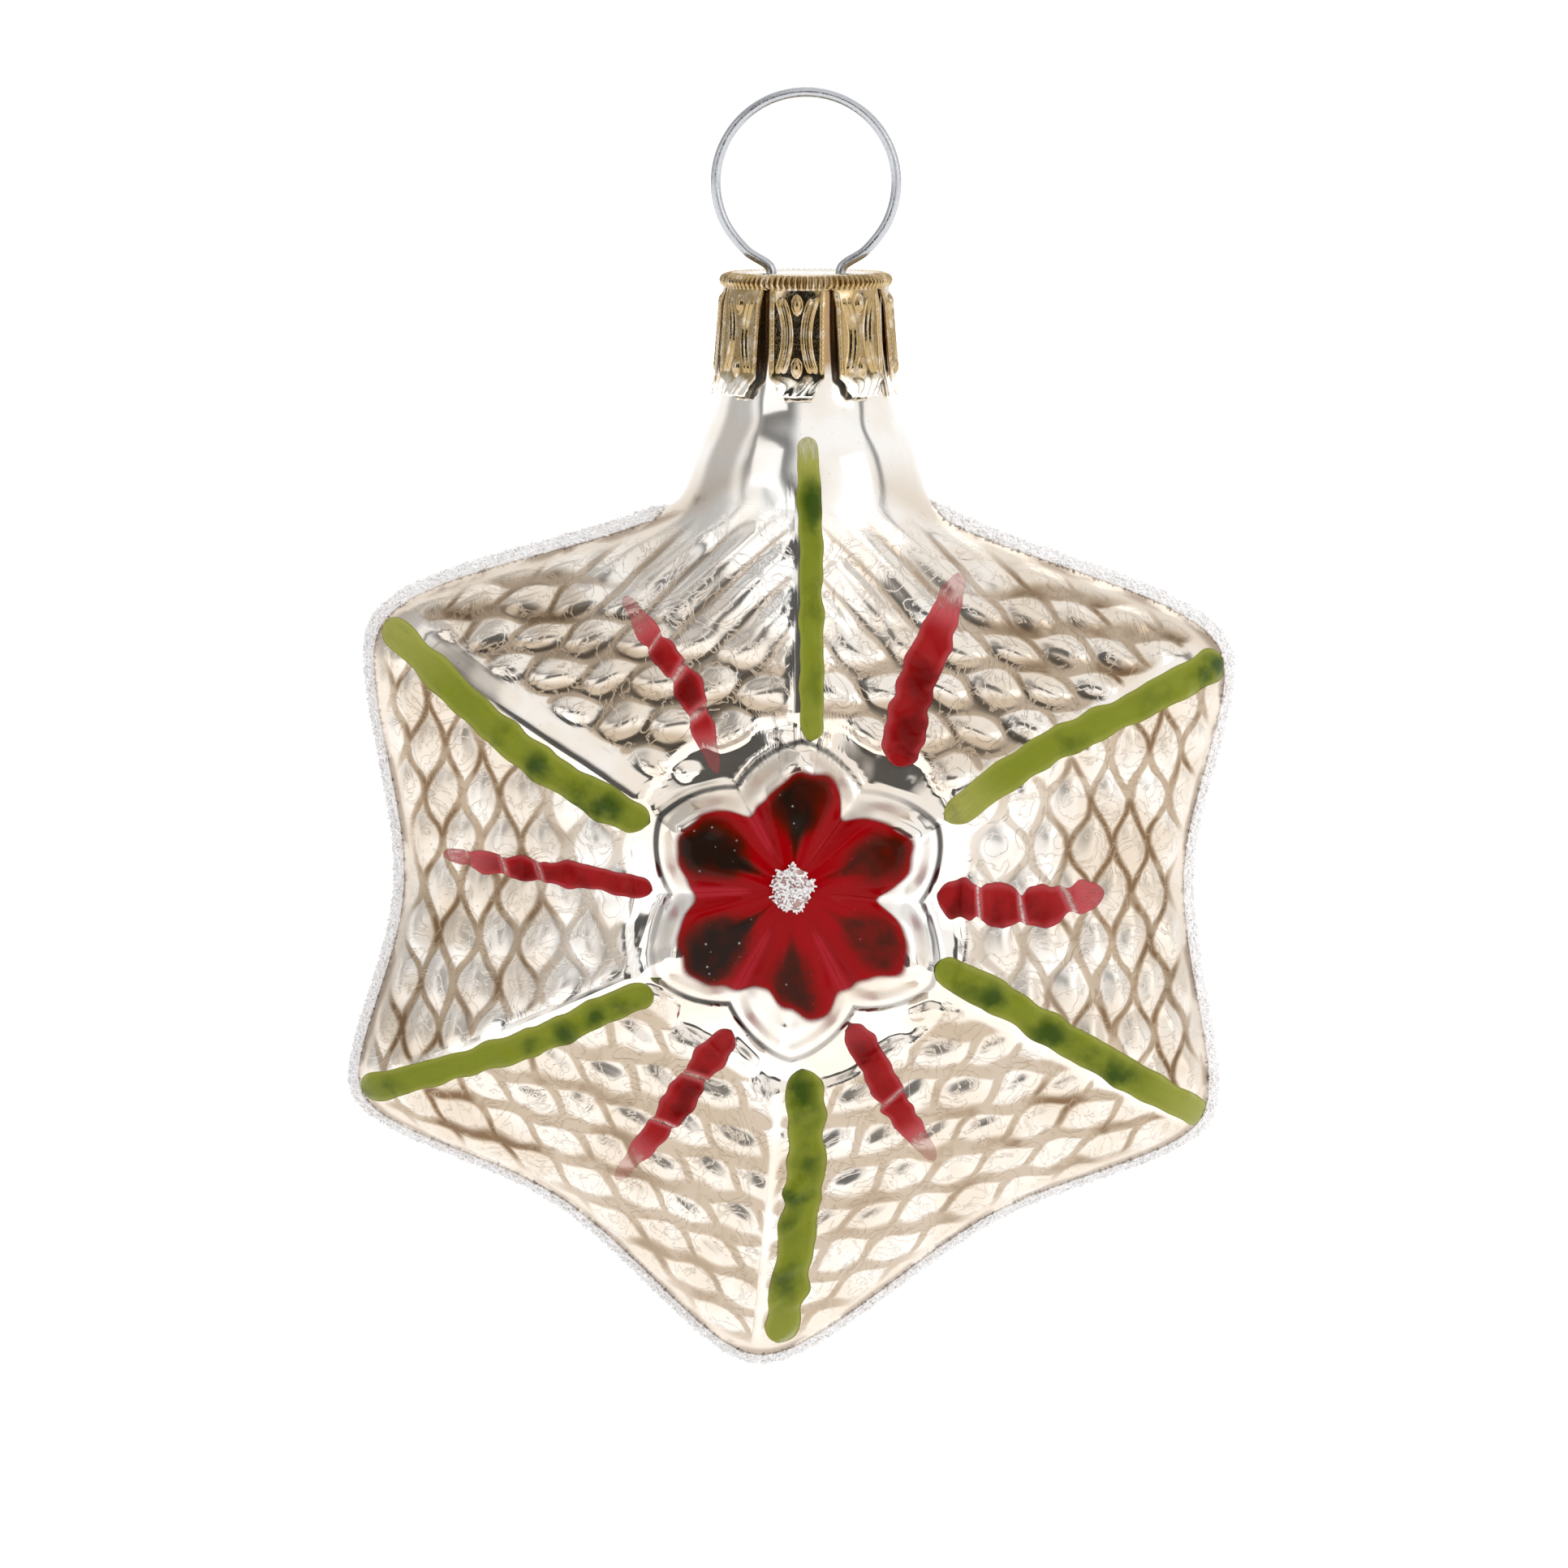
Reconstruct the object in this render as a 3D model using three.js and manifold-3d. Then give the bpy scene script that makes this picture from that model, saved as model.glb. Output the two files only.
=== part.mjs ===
// A mouth-blown, silvered glass star with a crown cap and a sprung wire hanger.
// Millimetres. +Z is up, the painted front faces -Y, and the neck's axis is x = y = 0.
// Heights in the sizes are measured from the star's centre. The last group moves the whole
// object down, so that its origin is the point where a hook carries the wire loop.

import * as THREE from 'three';
import { mergeVertices } from 'three/addons/utils/BufferGeometryUtils.js';
import Module from 'manifold-3d';

const wasm = await Module();
wasm.setup();

// The blown star

const TIP_REACH = 29.7;
const CORNER_REACH = 24.4;

// Blown by hand: each tip and corner is a little longer or shorter than the rest

const TIPS = [
    { angle: 30.2, longer: 0.8 },
    { angle: 88.8, longer: -0.7 },
    { angle: 146.9, longer: 1.0 },
    { angle: 204.9, longer: 0.1 },
    { angle: 265.2, longer: -0.6 },
    { angle: 331.0, longer: -0.7 },
];
const CORNERS = [
    { angle: 0.9, longer: -0.2 },
    { angle: 65.5, longer: 0.6 },
    { angle: 111.1, longer: 0.5 },
    { angle: 178.4, longer: 0 },
    { angle: 234.2, longer: -0.3 },
    { angle: 300.1, longer: -0.8 },
];
const SIDE_HOLLOW = 1.95;
const TIP_ROUNDING = 0.15;
const HALF_DEPTH = 10.5;
const FLANK_FALL = 0.45;
const RIM_SQUARENESS = 7;
const GLASS_WALL = 0.8;
const STAR_SHIFT = -0.65;

// The neck that the star was blown through

const NECK_RIM_HEIGHT = 37.45;
const NECK_RIM_RADIUS = 4.6;
const NECK_WAIST_HEIGHT = 33.2;
const NECK_WAIST_RADIUS = 4.75;
const NECK_FOOT_HEIGHT = 30.3;
const NECK_FOOT_RADIUS = 5.35;
const FLARE_HEIGHT = 25.2;
const FLARE_RADIUS = 7.1;
const FLARE_ROOT_HEIGHT = 17.0;
const FLARE_ROOT_RADIUS = 6.8;

// The quilted relief: diamond pillows on the panels between the ridges, smaller towards the rim

const ROW_PITCH = 3.15;
const RIM_ROW_PITCH = 2.1;
const CROWDING_START = 12;
const DIAMOND_LENGTH = 5.8;
const PILLOW_RISE = 0.5;
const RIDGE_HALF_WIDTH = 0.75;
const RIDGE_BLEND = 0.35;
const QUILT_FADE_SHARES = [0.93, 0.99];
const NECK_FADE_HEIGHTS = [20, 25];
const NECK_FADE_WIDTHS = [8, 14];

// The six-petalled rosette, whose petals meet a little above its middle, in a shallow moat

const ROSETTE_X = 0.05;
const ROSETTE_Z = 0.1;
const ROSETTE_TURN = 88;
const MEETING_OFFSET = new THREE.Vector2(-0.25, 0.95);
const PETALS = ['top', 'upper_right', 'lower_right', 'bottom', 'lower_left', 'upper_left'];
const PETAL_TIP_RADIUS = 9.6;
const PETAL_NOTCH_RADIUS = 7.5;
const PETAL_POINTEDNESS = 0.9;
const PETAL_RISE = 1.25;
const PETAL_FLANK = 1.5;
const SEAM_DEPTH = 0.75;
const SEAM_START = 0.55;
const SEAM_RADII = [1, 6];
const SPOON_DEPTH = 0.3;
const SPOON_RADIUS = 5.6;
const SPOON_HALF_LENGTH = 2.2;
const SPOON_HALF_WIDTH = 1.3;
const MOAT_DEPTH = 0.45;
const MOAT_TIP_RADIUS = 10.5;
const MOAT_NOTCH_RADIUS = 9.5;
const MOAT_BLEND = [-0.2, 0.5];

// The crown cap

const CAP_SHEET = 0.3;
const CAP_HEIGHT = 7.8;
const CAP_CLEARANCE = 0.65;
const CAP_RIM_HEIGHT = 1.0;
const CAP_RIM_BEAD = 0.15;
const CAP_EDGE_ROUND = 0.3;
const CAP_TABS = 8;
const CAP_TURN = -6;
const CAP_SLOT = 0.95;
const TAB_TAPER_HEIGHT = 1.55;
const TAB_TAPER = 0.78;
const TAB_CLEARANCE = 0.2;
const SEAT_GAP = 0.3;

// The wire hanger

const WIRE_RADIUS = 0.325;
const LOOP_RADIUS = 5.55;
const LEG_OFFSET = 2.2;
const LEG_LENGTH = 12;
const LEG_SPREAD_CLEARANCE = 0.35;
const LOOP_OPENING = 18;
const LOOP_POINTS = 12;
const HOLE_CLEARANCE = 0.17;

// Paint, lacquer and glitter

const COAT_GAP = 0.1;
const PAINT_THICKNESS = 0.15;
const STROKE_END_WIDTH = 0.35;
const LACQUER_HALF_LENGTH = 3.3;
const LACQUER_HALF_WIDTH = 2.75;
const LACQUER_TAPER = 0.55;
const LACQUER_REACH = 5.4;
const DAB_HALF_WIDTH = 1.4;
const DAB_HALF_HEIGHT = 1.5;
const DAB_RISE = 0.5;
const FRINGE_THICKNESS = 0.4;
const FRINGE_HALF_WIDTH = 1.2;
const FRINGE_GAP = 0.2;

// Strokes. Each point of a middle line is an angle and a share of the way to the outline,
// from the rosette outwards.

const BRUSH_HALF_WIDTH = 0.9;
const GREEN_STROKES = [
    { name: 'upper_right', wider: 0.05, line: [[29.1, 0.36], [31.2, 0.58], [29.5, 0.79], [29.0, 0.94]] },
    { name: 'top', wider: -0.18, line: [[84.6, 0.37], [87.1, 0.67], [88.1, 0.86]] },
    { name: 'upper_left', wider: 0.05, line: [[152.0, 0.36], [152.5, 0.48], [151.1, 0.64], [146.8, 0.94]] },
    { name: 'lower_left', wider: -0.05, line: [[211.5, 0.38], [209.4, 0.48], [208.2, 0.64], [204.8, 0.94]] },
    { name: 'bottom', wider: 0.3, line: [[272.7, 0.39], [272.7, 0.53], [270.9, 0.69], [268.1, 0.93]] },
    { name: 'lower_right', wider: 0.05, line: [[335.5, 0.35], [334.2, 0.51], [332.6, 0.66], [331.5, 0.95]] },
];
const RED_STROKES = [
    { name: 'right', wider: 0.2, line: [[1.8, 0.38], [359.2, 0.5], [358.4, 0.6], [361.0, 0.76]] },
    { name: 'upper_right', wider: 0.1, line: [[54.0, 0.42], [60.7, 0.59], [61.9, 0.72], [63.0, 0.87]] },
    { name: 'upper_left', wider: -0.15, line: [[120.6, 0.38], [116.6, 0.58], [118.2, 0.69], [119.4, 0.82]] },
    { name: 'left', wider: -0.22, line: [[175.2, 0.38], [173.3, 0.53], [173.5, 0.7], [172.9, 0.86]] },
    { name: 'lower_left', wider: -0.1, line: [[242.9, 0.38], [240.4, 0.5], [239.7, 0.61], [237.8, 0.83]] },
    { name: 'lower_right', wider: -0.08, line: [[294.4, 0.37], [295.6, 0.47], [296.2, 0.6], [297.8, 0.75]] },
];

// Fineness of the curved faces

const COLUMNS = 84;
const ROSETTE_FRACTIONS = [0, 0.06, 0.12, 0.18, 0.225, 0.265, 0.3, 0.33, 0.36, 0.39];
const QUILT_FIRST_ROW = 3.25;
const QUILT_LAST_ROW = 7.75;
const RINGS_PER_ROW = 4;
const RIM_FRACTIONS = [0.955, 0.985, 1];
const INNER_COLUMNS = 36;
const INNER_FRACTIONS = [0, 0.4, 0.65, 0.85, 0.96, 1];
const TURNED_STEPS = 32;
const CAP_STEPS = 48;
const NECK_STEPS = 8;
const MEETING_PASSES = 4;
const WIRE_SIDES = 8;
const WIRE_STEPS = 72;
const HOLE_SIDES = 16;
const DAB_ANGLE_STEPS = 12;
const DAB_RINGS = 8;
const STROKE_STEPS = 6;
const LACQUER_STEPS = 12;

const FRONT = -1;
const BACK = 1;
const HALF_SECTORS = TIPS.length + CORNERS.length;

// Solids: joining and cutting closed meshes

function solidOf(geometry) {
    const bare = geometry.clone();
    bare.deleteAttribute('normal');
    bare.deleteAttribute('uv');
    const merged = mergeVertices(bare);
    const mesh = new wasm.Mesh({
        numProp: 3,
        vertProperties: merged.getAttribute('position').array,
        triVerts: new Uint32Array(merged.index.array),
    });
    return new wasm.Manifold(mesh);
}

function geometryOf(solid) {
    const mesh = solid.getMesh();
    const geometry = new THREE.BufferGeometry();
    geometry.setAttribute('position', new THREE.BufferAttribute(mesh.vertProperties, 3));
    geometry.setIndex(new THREE.BufferAttribute(mesh.triVerts, 1));
    geometry.computeVertexNormals();
    return geometry;
}

function joined(solids) {
    return solids.reduce((whole, next) => whole.add(next));
}

function turned(profile, steps) {
    const points = profile.map(([radius, height]) => new THREE.Vector2(radius, height));
    return new THREE.LatheGeometry(points, steps).rotateX(Math.PI / 2);
}

// The star's surface

function marksOf(list, reach, isTip) {
    return list.map(({ angle, longer }) => ({ angle, reach: reach + longer, isTip }));
}

function marks() {
    const all = [...marksOf(TIPS, TIP_REACH, true), ...marksOf(CORNERS, CORNER_REACH, false)];
    return all.sort((a, b) => a.angle - b.angle);
}

const MARKS = marks();

function evenTurnAngle(turn) {
    const place = THREE.MathUtils.euclideanModulo(turn, 1) * HALF_SECTORS;
    const index = Math.floor(place);
    const from = MARKS[index];
    const to = MARKS[(index + 1) % HALF_SECTORS];
    const span = THREE.MathUtils.euclideanModulo(to.angle - from.angle, 360);
    return THREE.MathUtils.degToRad(from.angle + span * (place - index));
}

function sectorAt(angle) {
    const degrees = THREE.MathUtils.euclideanModulo(THREE.MathUtils.radToDeg(angle), 360);
    const above = MARKS.findIndex((mark) => mark.angle > degrees);
    const to = MARKS[above === -1 ? 0 : above];
    const from = MARKS[(MARKS.indexOf(to) + HALF_SECTORS - 1) % HALF_SECTORS];
    const span = THREE.MathUtils.euclideanModulo(to.angle - from.angle, 360);
    const along = THREE.MathUtils.euclideanModulo(degrees - from.angle, 360) / span;
    const [tip, corner, fromTip] = from.isTip ? [from, to, along] : [to, from, 1 - along];
    return { tip, corner, fromTip };
}

function reachAt(angle) {
    const { tip, corner, fromTip } = sectorAt(angle);
    const full = Math.hypot(1, TIP_ROUNDING);
    const rise = (full - Math.hypot(fromTip, TIP_ROUNDING)) / (full - TIP_ROUNDING);
    return corner.reach + (tip.reach - corner.reach) * Math.max(rise, 0) ** SIDE_HOLLOW;
}

function depthAtFraction(fraction) {
    const flank = 1 - FLANK_FALL * fraction;
    return flank * Math.sqrt(Math.max(1 - fraction ** RIM_SQUARENESS, 0));
}

function fractionAt(x, z) {
    return Math.hypot(x, z) / reachAt(Math.atan2(z, x));
}

function depthAt(x, z) {
    return HALF_DEPTH * depthAtFraction(Math.min(fractionAt(x, z), 1));
}

// The rosette's relief. Inside it, places are measured from where its petals meet.

function meetingShift(radius) {
    return MEETING_OFFSET.clone().multiplyScalar(Math.max(1 - radius / PETAL_TIP_RADIUS, 0));
}

function rosettePlace(x, z) {
    const actual = new THREE.Vector2(x - ROSETTE_X, z - ROSETTE_Z);
    let place = actual;
    for (let pass = 0; pass < MEETING_PASSES; pass += 1) {
        place = actual.clone().sub(meetingShift(place.length()));
    }
    const halfPetal = 180 / PETALS.length;
    const turn = THREE.MathUtils.radToDeg(place.angle()) - ROSETTE_TURN;
    const offLine = THREE.MathUtils.euclideanModulo(turn + halfPetal, 2 * halfPetal) - halfPetal;
    return { radius: place.length(), offLine, seam: Math.abs(offLine) / halfPetal };
}

function petalOutline(seam, tipRadius, notchRadius) {
    return tipRadius - (tipRadius - notchRadius) * seam ** PETAL_POINTEDNESS;
}

function rosetteRelief(x, z) {
    const { radius, offLine, seam } = rosettePlace(x, z);
    const edge = petalOutline(seam, PETAL_TIP_RADIUS, PETAL_NOTCH_RADIUS);
    const bank = petalOutline(seam, MOAT_TIP_RADIUS, MOAT_NOTCH_RADIUS);
    if (radius > edge) {
        const across = Math.min((radius - edge) / (bank - edge), 1);
        return -MOAT_DEPTH * Math.sin(Math.PI * across) ** 2;
    }
    const flank = 1 - THREE.MathUtils.smoothstep(radius, edge - PETAL_FLANK, edge);
    const deepening = THREE.MathUtils.smoothstep(radius, ...SEAM_RADII);
    const groove = SEAM_DEPTH * deepening * THREE.MathUtils.smoothstep(seam, SEAM_START, 1);
    const sideways = radius * THREE.MathUtils.degToRad(offLine) / SPOON_HALF_WIDTH;
    const lengthwise = (radius - SPOON_RADIUS) / SPOON_HALF_LENGTH;
    const spoon = SPOON_DEPTH * Math.exp(-lengthwise * lengthwise - sideways * sideways);
    return flank * (PETAL_RISE - groove - spoon);
}

// The quilted relief

function placeAlong(x, z, degrees) {
    const angle = THREE.MathUtils.degToRad(degrees);
    return {
        along: x * Math.cos(angle) + z * Math.sin(angle),
        off: z * Math.cos(angle) - x * Math.sin(angle),
    };
}

const CROWDING = (1 / RIM_ROW_PITCH - 1 / ROW_PITCH) / (CORNER_REACH - CROWDING_START);

function rowAt(along) {
    const past = Math.max(along - CROWDING_START, 0);
    return along / ROW_PITCH + CROWDING * past * past / 2;
}

function distanceOfRow(row) {
    const past = row - CROWDING_START / ROW_PITCH;
    if (past < 0) {
        return row * ROW_PITCH;
    }
    return CROWDING_START + (Math.sqrt(1 / ROW_PITCH ** 2 + 2 * CROWDING * past) - 1 / ROW_PITCH) / CROWDING;
}

function quiltShare(x, z, tip) {
    const { radius, seam } = rosettePlace(x, z);
    const bank = petalOutline(seam, MOAT_TIP_RADIUS, MOAT_NOTCH_RADIUS);
    const offRosette = THREE.MathUtils.smoothstep(radius - bank, ...MOAT_BLEND);
    const fromRidge = Math.abs(placeAlong(x, z, tip.angle).off);
    const offRidge = THREE.MathUtils.smoothstep(
        fromRidge, RIDGE_HALF_WIDTH - RIDGE_BLEND, RIDGE_HALF_WIDTH + RIDGE_BLEND);
    const offRim = 1 - THREE.MathUtils.smoothstep(fractionAt(x, z), ...QUILT_FADE_SHARES);
    const upNeck = THREE.MathUtils.smoothstep(z, ...NECK_FADE_HEIGHTS);
    const offNeck = 1 - upNeck * (1 - THREE.MathUtils.smoothstep(Math.abs(x), ...NECK_FADE_WIDTHS));
    return offRosette * offRidge * offRim * offNeck;
}

function quiltRelief(x, z) {
    const { tip, corner } = sectorAt(Math.atan2(z, x));
    const { along, off } = placeAlong(x, z, corner.angle);
    const rising = Math.sin(Math.PI * (rowAt(along) + off / DIAMOND_LENGTH));
    const falling = Math.sin(Math.PI * (rowAt(along) - off / DIAMOND_LENGTH));
    return PILLOW_RISE * Math.abs(rising * falling) * quiltShare(x, z, tip);
}

function moulded(x, z) {
    return rosetteRelief(x, z) + quiltRelief(x, z);
}

// A closed, pillow-shaped star. Its rings lie at the given shares of the way from the middle to
// the outline, and those on the panels follow the rows of pillows.

function starBlank(inset, columns, fractions, reliefAt) {
    const rings = fractions.length - 1;
    const geometry = new THREE.SphereGeometry(1, columns, 2 * rings);
    const position = geometry.getAttribute('position');
    for (let row = 0; row <= 2 * rings; row += 1) {
        const ring = Math.min(row, 2 * rings - row);
        const side = Math.sign(rings - row) * BACK;
        for (let column = 0; column <= columns; column += 1) {
            const angle = evenTurnAngle(column / columns);
            const reach = fractions[ring] * (reachAt(angle) - inset);
            const x = reach * Math.cos(angle);
            const z = reach * Math.sin(angle);
            const depth = (HALF_DEPTH - inset) * depthAtFraction(fractions[ring]);
            position.setXYZ(row * (columns + 1) + column, x, side * (depth + reliefAt(x, z)), z);
        }
    }
    geometry.setIndex(latticeFaces(columns, 2 * rings));
    return solidOf(geometry);
}

function latticeFaces(columns, rows) {
    const faces = [];
    for (let row = 0; row < rows; row += 1) {
        for (let column = 0; column < columns; column += 1) {
            const a = row * (columns + 1) + column;
            const b = a + 1;
            const c = a + columns + 2;
            const d = a + columns + 1;
            if (row === 0) {
                faces.push(a, c, d);
            } else if (row === rows - 1) {
                faces.push(a, b, c);
            } else if ((row + column) % 2 === 0) {
                faces.push(a, b, d, b, c, d);
            } else {
                faces.push(a, b, c, a, c, d);
            }
        }
    }
    return faces;
}

function outerFractions() {
    const count = (QUILT_LAST_ROW - QUILT_FIRST_ROW) * RINGS_PER_ROW;
    const quilted = Array.from({ length: count + 1 }, (_, ring) => (
        distanceOfRow(QUILT_FIRST_ROW + ring / RINGS_PER_ROW) / CORNER_REACH));
    return [...ROSETTE_FRACTIONS, ...quilted, ...RIM_FRACTIONS];
}

// The neck

function neckCurve() {
    return new THREE.SplineCurve([
        new THREE.Vector2(FLARE_ROOT_HEIGHT, FLARE_ROOT_RADIUS),
        new THREE.Vector2(FLARE_HEIGHT, FLARE_RADIUS),
        new THREE.Vector2(NECK_FOOT_HEIGHT, NECK_FOOT_RADIUS),
        new THREE.Vector2(NECK_WAIST_HEIGHT, NECK_WAIST_RADIUS),
        new THREE.Vector2(NECK_RIM_HEIGHT, NECK_RIM_RADIUS),
    ]);
}

const NECK_POINTS = neckCurve().getPoints(NECK_STEPS);

function neckRadiusAt(height) {
    const above = NECK_POINTS.findIndex((point) => point.x > height);
    const to = above === -1 ? NECK_POINTS.length - 1 : Math.max(above, 1);
    const low = NECK_POINTS[to - 1];
    const high = NECK_POINTS[to];
    const along = (height - low.x) / (high.x - low.x);
    return THREE.MathUtils.lerp(low.y, high.y, along);
}

function neckSolid(inset, topHeight) {
    const side = NECK_POINTS.map((point) => [point.y - inset, point.x]);
    side[side.length - 1][1] = topHeight;
    return solidOf(turned([[0, FLARE_ROOT_HEIGHT], ...side, [0, topHeight]], TURNED_STEPS));
}

const BORE_RADIUS = NECK_RIM_RADIUS - GLASS_WALL;

function glassOutside() {
    const star = starBlank(0, COLUMNS, outerFractions(), moulded);
    return star.translate([STAR_SHIFT, 0, 0]).add(neckSolid(0, NECK_RIM_HEIGHT));
}

function glassInside() {
    const cavity = starBlank(GLASS_WALL, INNER_COLUMNS, INNER_FRACTIONS, () => 0);
    const bore = neckSolid(GLASS_WALL, NECK_RIM_HEIGHT + GLASS_WALL);
    return cavity.translate([STAR_SHIFT, 0, 0]).add(bore);
}

const OUTSIDE = glassOutside();

// The crown cap

const CAP_TOP = NECK_RIM_HEIGHT + SEAT_GAP + CAP_SHEET;
const CAP_FOOT = CAP_TOP - CAP_HEIGHT;
const CAP_RADIUS = NECK_RIM_RADIUS + CAP_CLEARANCE + CAP_SHEET;
const TAB_END_RADIUS = neckRadiusAt(CAP_FOOT) + TAB_CLEARANCE + CAP_SHEET;

function capShell() {
    const rimFoot = CAP_TOP - CAP_RIM_HEIGHT;
    const edge = CAP_RADIUS + CAP_RIM_BEAD;
    return solidOf(turned([
        [0, CAP_TOP - CAP_SHEET],
        [CAP_RADIUS - CAP_SHEET, CAP_TOP - CAP_SHEET],
        [CAP_RADIUS - CAP_SHEET, rimFoot],
        [TAB_END_RADIUS - CAP_SHEET, CAP_FOOT],
        [TAB_END_RADIUS, CAP_FOOT],
        [CAP_RADIUS, rimFoot],
        [edge, rimFoot + CAP_EDGE_ROUND],
        [edge, CAP_TOP - CAP_EDGE_ROUND],
        [edge - CAP_EDGE_ROUND, CAP_TOP],
        [0, CAP_TOP],
    ], CAP_STEPS));
}

function capSlot(index) {
    const top = CAP_TOP - CAP_RIM_HEIGHT;
    const taper = CAP_FOOT + TAB_TAPER_HEIGHT;
    const below = CAP_FOOT - CAP_SHEET;
    const narrow = CAP_SLOT / 2;
    const wide = narrow + TAB_TAPER * (taper - below) / TAB_TAPER_HEIGHT;
    const outline = new THREE.Shape([
        new THREE.Vector2(-narrow, top),
        new THREE.Vector2(-narrow, taper),
        new THREE.Vector2(-wide, below),
        new THREE.Vector2(wide, below),
        new THREE.Vector2(narrow, taper),
        new THREE.Vector2(narrow, top),
    ]);
    const cutter = new THREE.ExtrudeGeometry(outline, { depth: 2 * TAB_END_RADIUS, bevelEnabled: false });
    cutter.rotateX(Math.PI / 2);
    cutter.rotateZ(THREE.MathUtils.degToRad(CAP_TURN + (index + 0.5) * 360 / CAP_TABS));
    return solidOf(cutter);
}

function legHole(x) {
    const radius = WIRE_RADIUS + HOLE_CLEARANCE;
    const cutter = new THREE.CylinderGeometry(radius, radius, 4 * CAP_SHEET, HOLE_SIDES).rotateX(Math.PI / 2);
    return solidOf(cutter.translate(x, 0, CAP_TOP - CAP_SHEET / 2));
}

function crownCap() {
    const slots = Array.from({ length: CAP_TABS }, (_, index) => capSlot(index));
    const holes = [legHole(-LEG_OFFSET), legHole(LEG_OFFSET)];
    return capShell().subtract(joined([...slots, ...holes]));
}

// The wire hanger

const LOOP_CENTRE = CAP_TOP + LOOP_RADIUS;
const HANG_HEIGHT = LOOP_CENTRE + LOOP_RADIUS - WIRE_RADIUS;

function wirePath() {
    const legEnd = BORE_RADIUS - WIRE_RADIUS - LEG_SPREAD_CLEARANCE;
    const legFoot = CAP_TOP - LEG_LENGTH;
    const rightLeg = [
        new THREE.Vector3(legEnd, 0, legFoot),
        new THREE.Vector3((legEnd + 2 * LEG_OFFSET) / 3, 0, CAP_TOP - LEG_LENGTH / 3),
        new THREE.Vector3(LEG_OFFSET, 0, CAP_TOP - 2 * WIRE_RADIUS),
        new THREE.Vector3(LEG_OFFSET, 0, CAP_TOP + WIRE_RADIUS),
    ];
    const mirrored = (point) => new THREE.Vector3(-point.x, 0, point.z);
    const leftLeg = rightLeg.map(mirrored).reverse();
    const start = Math.asin(LEG_OFFSET / LOOP_RADIUS) + THREE.MathUtils.degToRad(LOOP_OPENING);
    const arc = Array.from({ length: LOOP_POINTS + 1 }, (_, index) => {
        const turn = start + (2 * Math.PI - 2 * start) * index / LOOP_POINTS;
        return new THREE.Vector3(LOOP_RADIUS * Math.sin(turn), 0, LOOP_CENTRE - LOOP_RADIUS * Math.cos(turn));
    });
    return new THREE.CatmullRomCurve3([...rightLeg, ...arc, ...leftLeg], false, 'centripetal');
}

function wireHanger() {
    const section = new THREE.Shape().absarc(0, 0, WIRE_RADIUS, 0, 2 * Math.PI);
    return new THREE.ExtrudeGeometry(section, {
        curveSegments: WIRE_SIDES / 2,
        steps: WIRE_STEPS,
        bevelEnabled: false,
        extrudePath: wirePath(),
    });
}

// Paint, lacquer and glitter: thin coats that follow the glass under them

function facePrism(shape) {
    const prism = new THREE.ExtrudeGeometry(shape, { depth: 2 * HALF_DEPTH, bevelEnabled: false });
    return solidOf(prism.rotateX(Math.PI / 2)).translate([STAR_SHIFT, 0, 0]);
}

function coat(shape) {
    const lifted = OUTSIDE.translate([0, FRONT * (COAT_GAP + PAINT_THICKNESS), 0]);
    const under = OUTSIDE.translate([0, FRONT * COAT_GAP, 0]);
    return facePrism(shape).intersect(lifted).subtract(under);
}

function facePoint([degrees, share]) {
    const angle = THREE.MathUtils.degToRad(degrees);
    const reach = share * reachAt(angle);
    return new THREE.Vector2(reach * Math.cos(angle), reach * Math.sin(angle));
}

function strokeShape({ line, wider }) {
    const middle = new THREE.SplineCurve(line.map(facePoint));
    const halfWidth = BRUSH_HALF_WIDTH + wider;
    const edge = (sign) => Array.from({ length: STROKE_STEPS + 1 }, (_, index) => {
        const along = index / STROKE_STEPS;
        const tangent = middle.getTangent(along);
        const swell = STROKE_END_WIDTH + (1 - STROKE_END_WIDTH) * Math.sin(Math.PI * along);
        const sideways = new THREE.Vector2(-tangent.y, tangent.x).multiplyScalar(sign * halfWidth * swell);
        return middle.getPoint(along).add(sideways);
    });
    return new THREE.Shape([...edge(1), ...edge(-1).reverse()]);
}

function petalPoint(index, outwards, sideways) {
    const axis = THREE.MathUtils.degToRad(ROSETTE_TURN - index * 360 / PETALS.length);
    const place = new THREE.Vector2(outwards, sideways).rotateAround(new THREE.Vector2(), axis);
    place.add(meetingShift(place.length()));
    return place.add(new THREE.Vector2(ROSETTE_X, ROSETTE_Z));
}

function lacquerShape(index) {
    const points = Array.from({ length: LACQUER_STEPS }, (_, step) => {
        const turn = 2 * Math.PI * step / LACQUER_STEPS;
        const taper = 1 - LACQUER_TAPER * (1 - Math.cos(turn)) / 2;
        const outwards = LACQUER_REACH + LACQUER_HALF_LENGTH * Math.cos(turn);
        return petalPoint(index, outwards, LACQUER_HALF_WIDTH * Math.sin(turn) * taper);
    });
    return new THREE.Shape(points);
}

function centreDab() {
    const middle = petalPoint(0, 0, 0);
    const dab = new THREE.SphereGeometry(1, DAB_ANGLE_STEPS, DAB_RINGS);
    dab.scale(DAB_HALF_WIDTH, DAB_RISE + PETAL_RISE, DAB_HALF_HEIGHT);
    dab.translate(STAR_SHIFT + middle.x, FRONT * depthAt(middle.x, middle.y), middle.y);
    return solidOf(dab).subtract(OUTSIDE.translate([0, FRONT * COAT_GAP, 0]));
}

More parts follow.
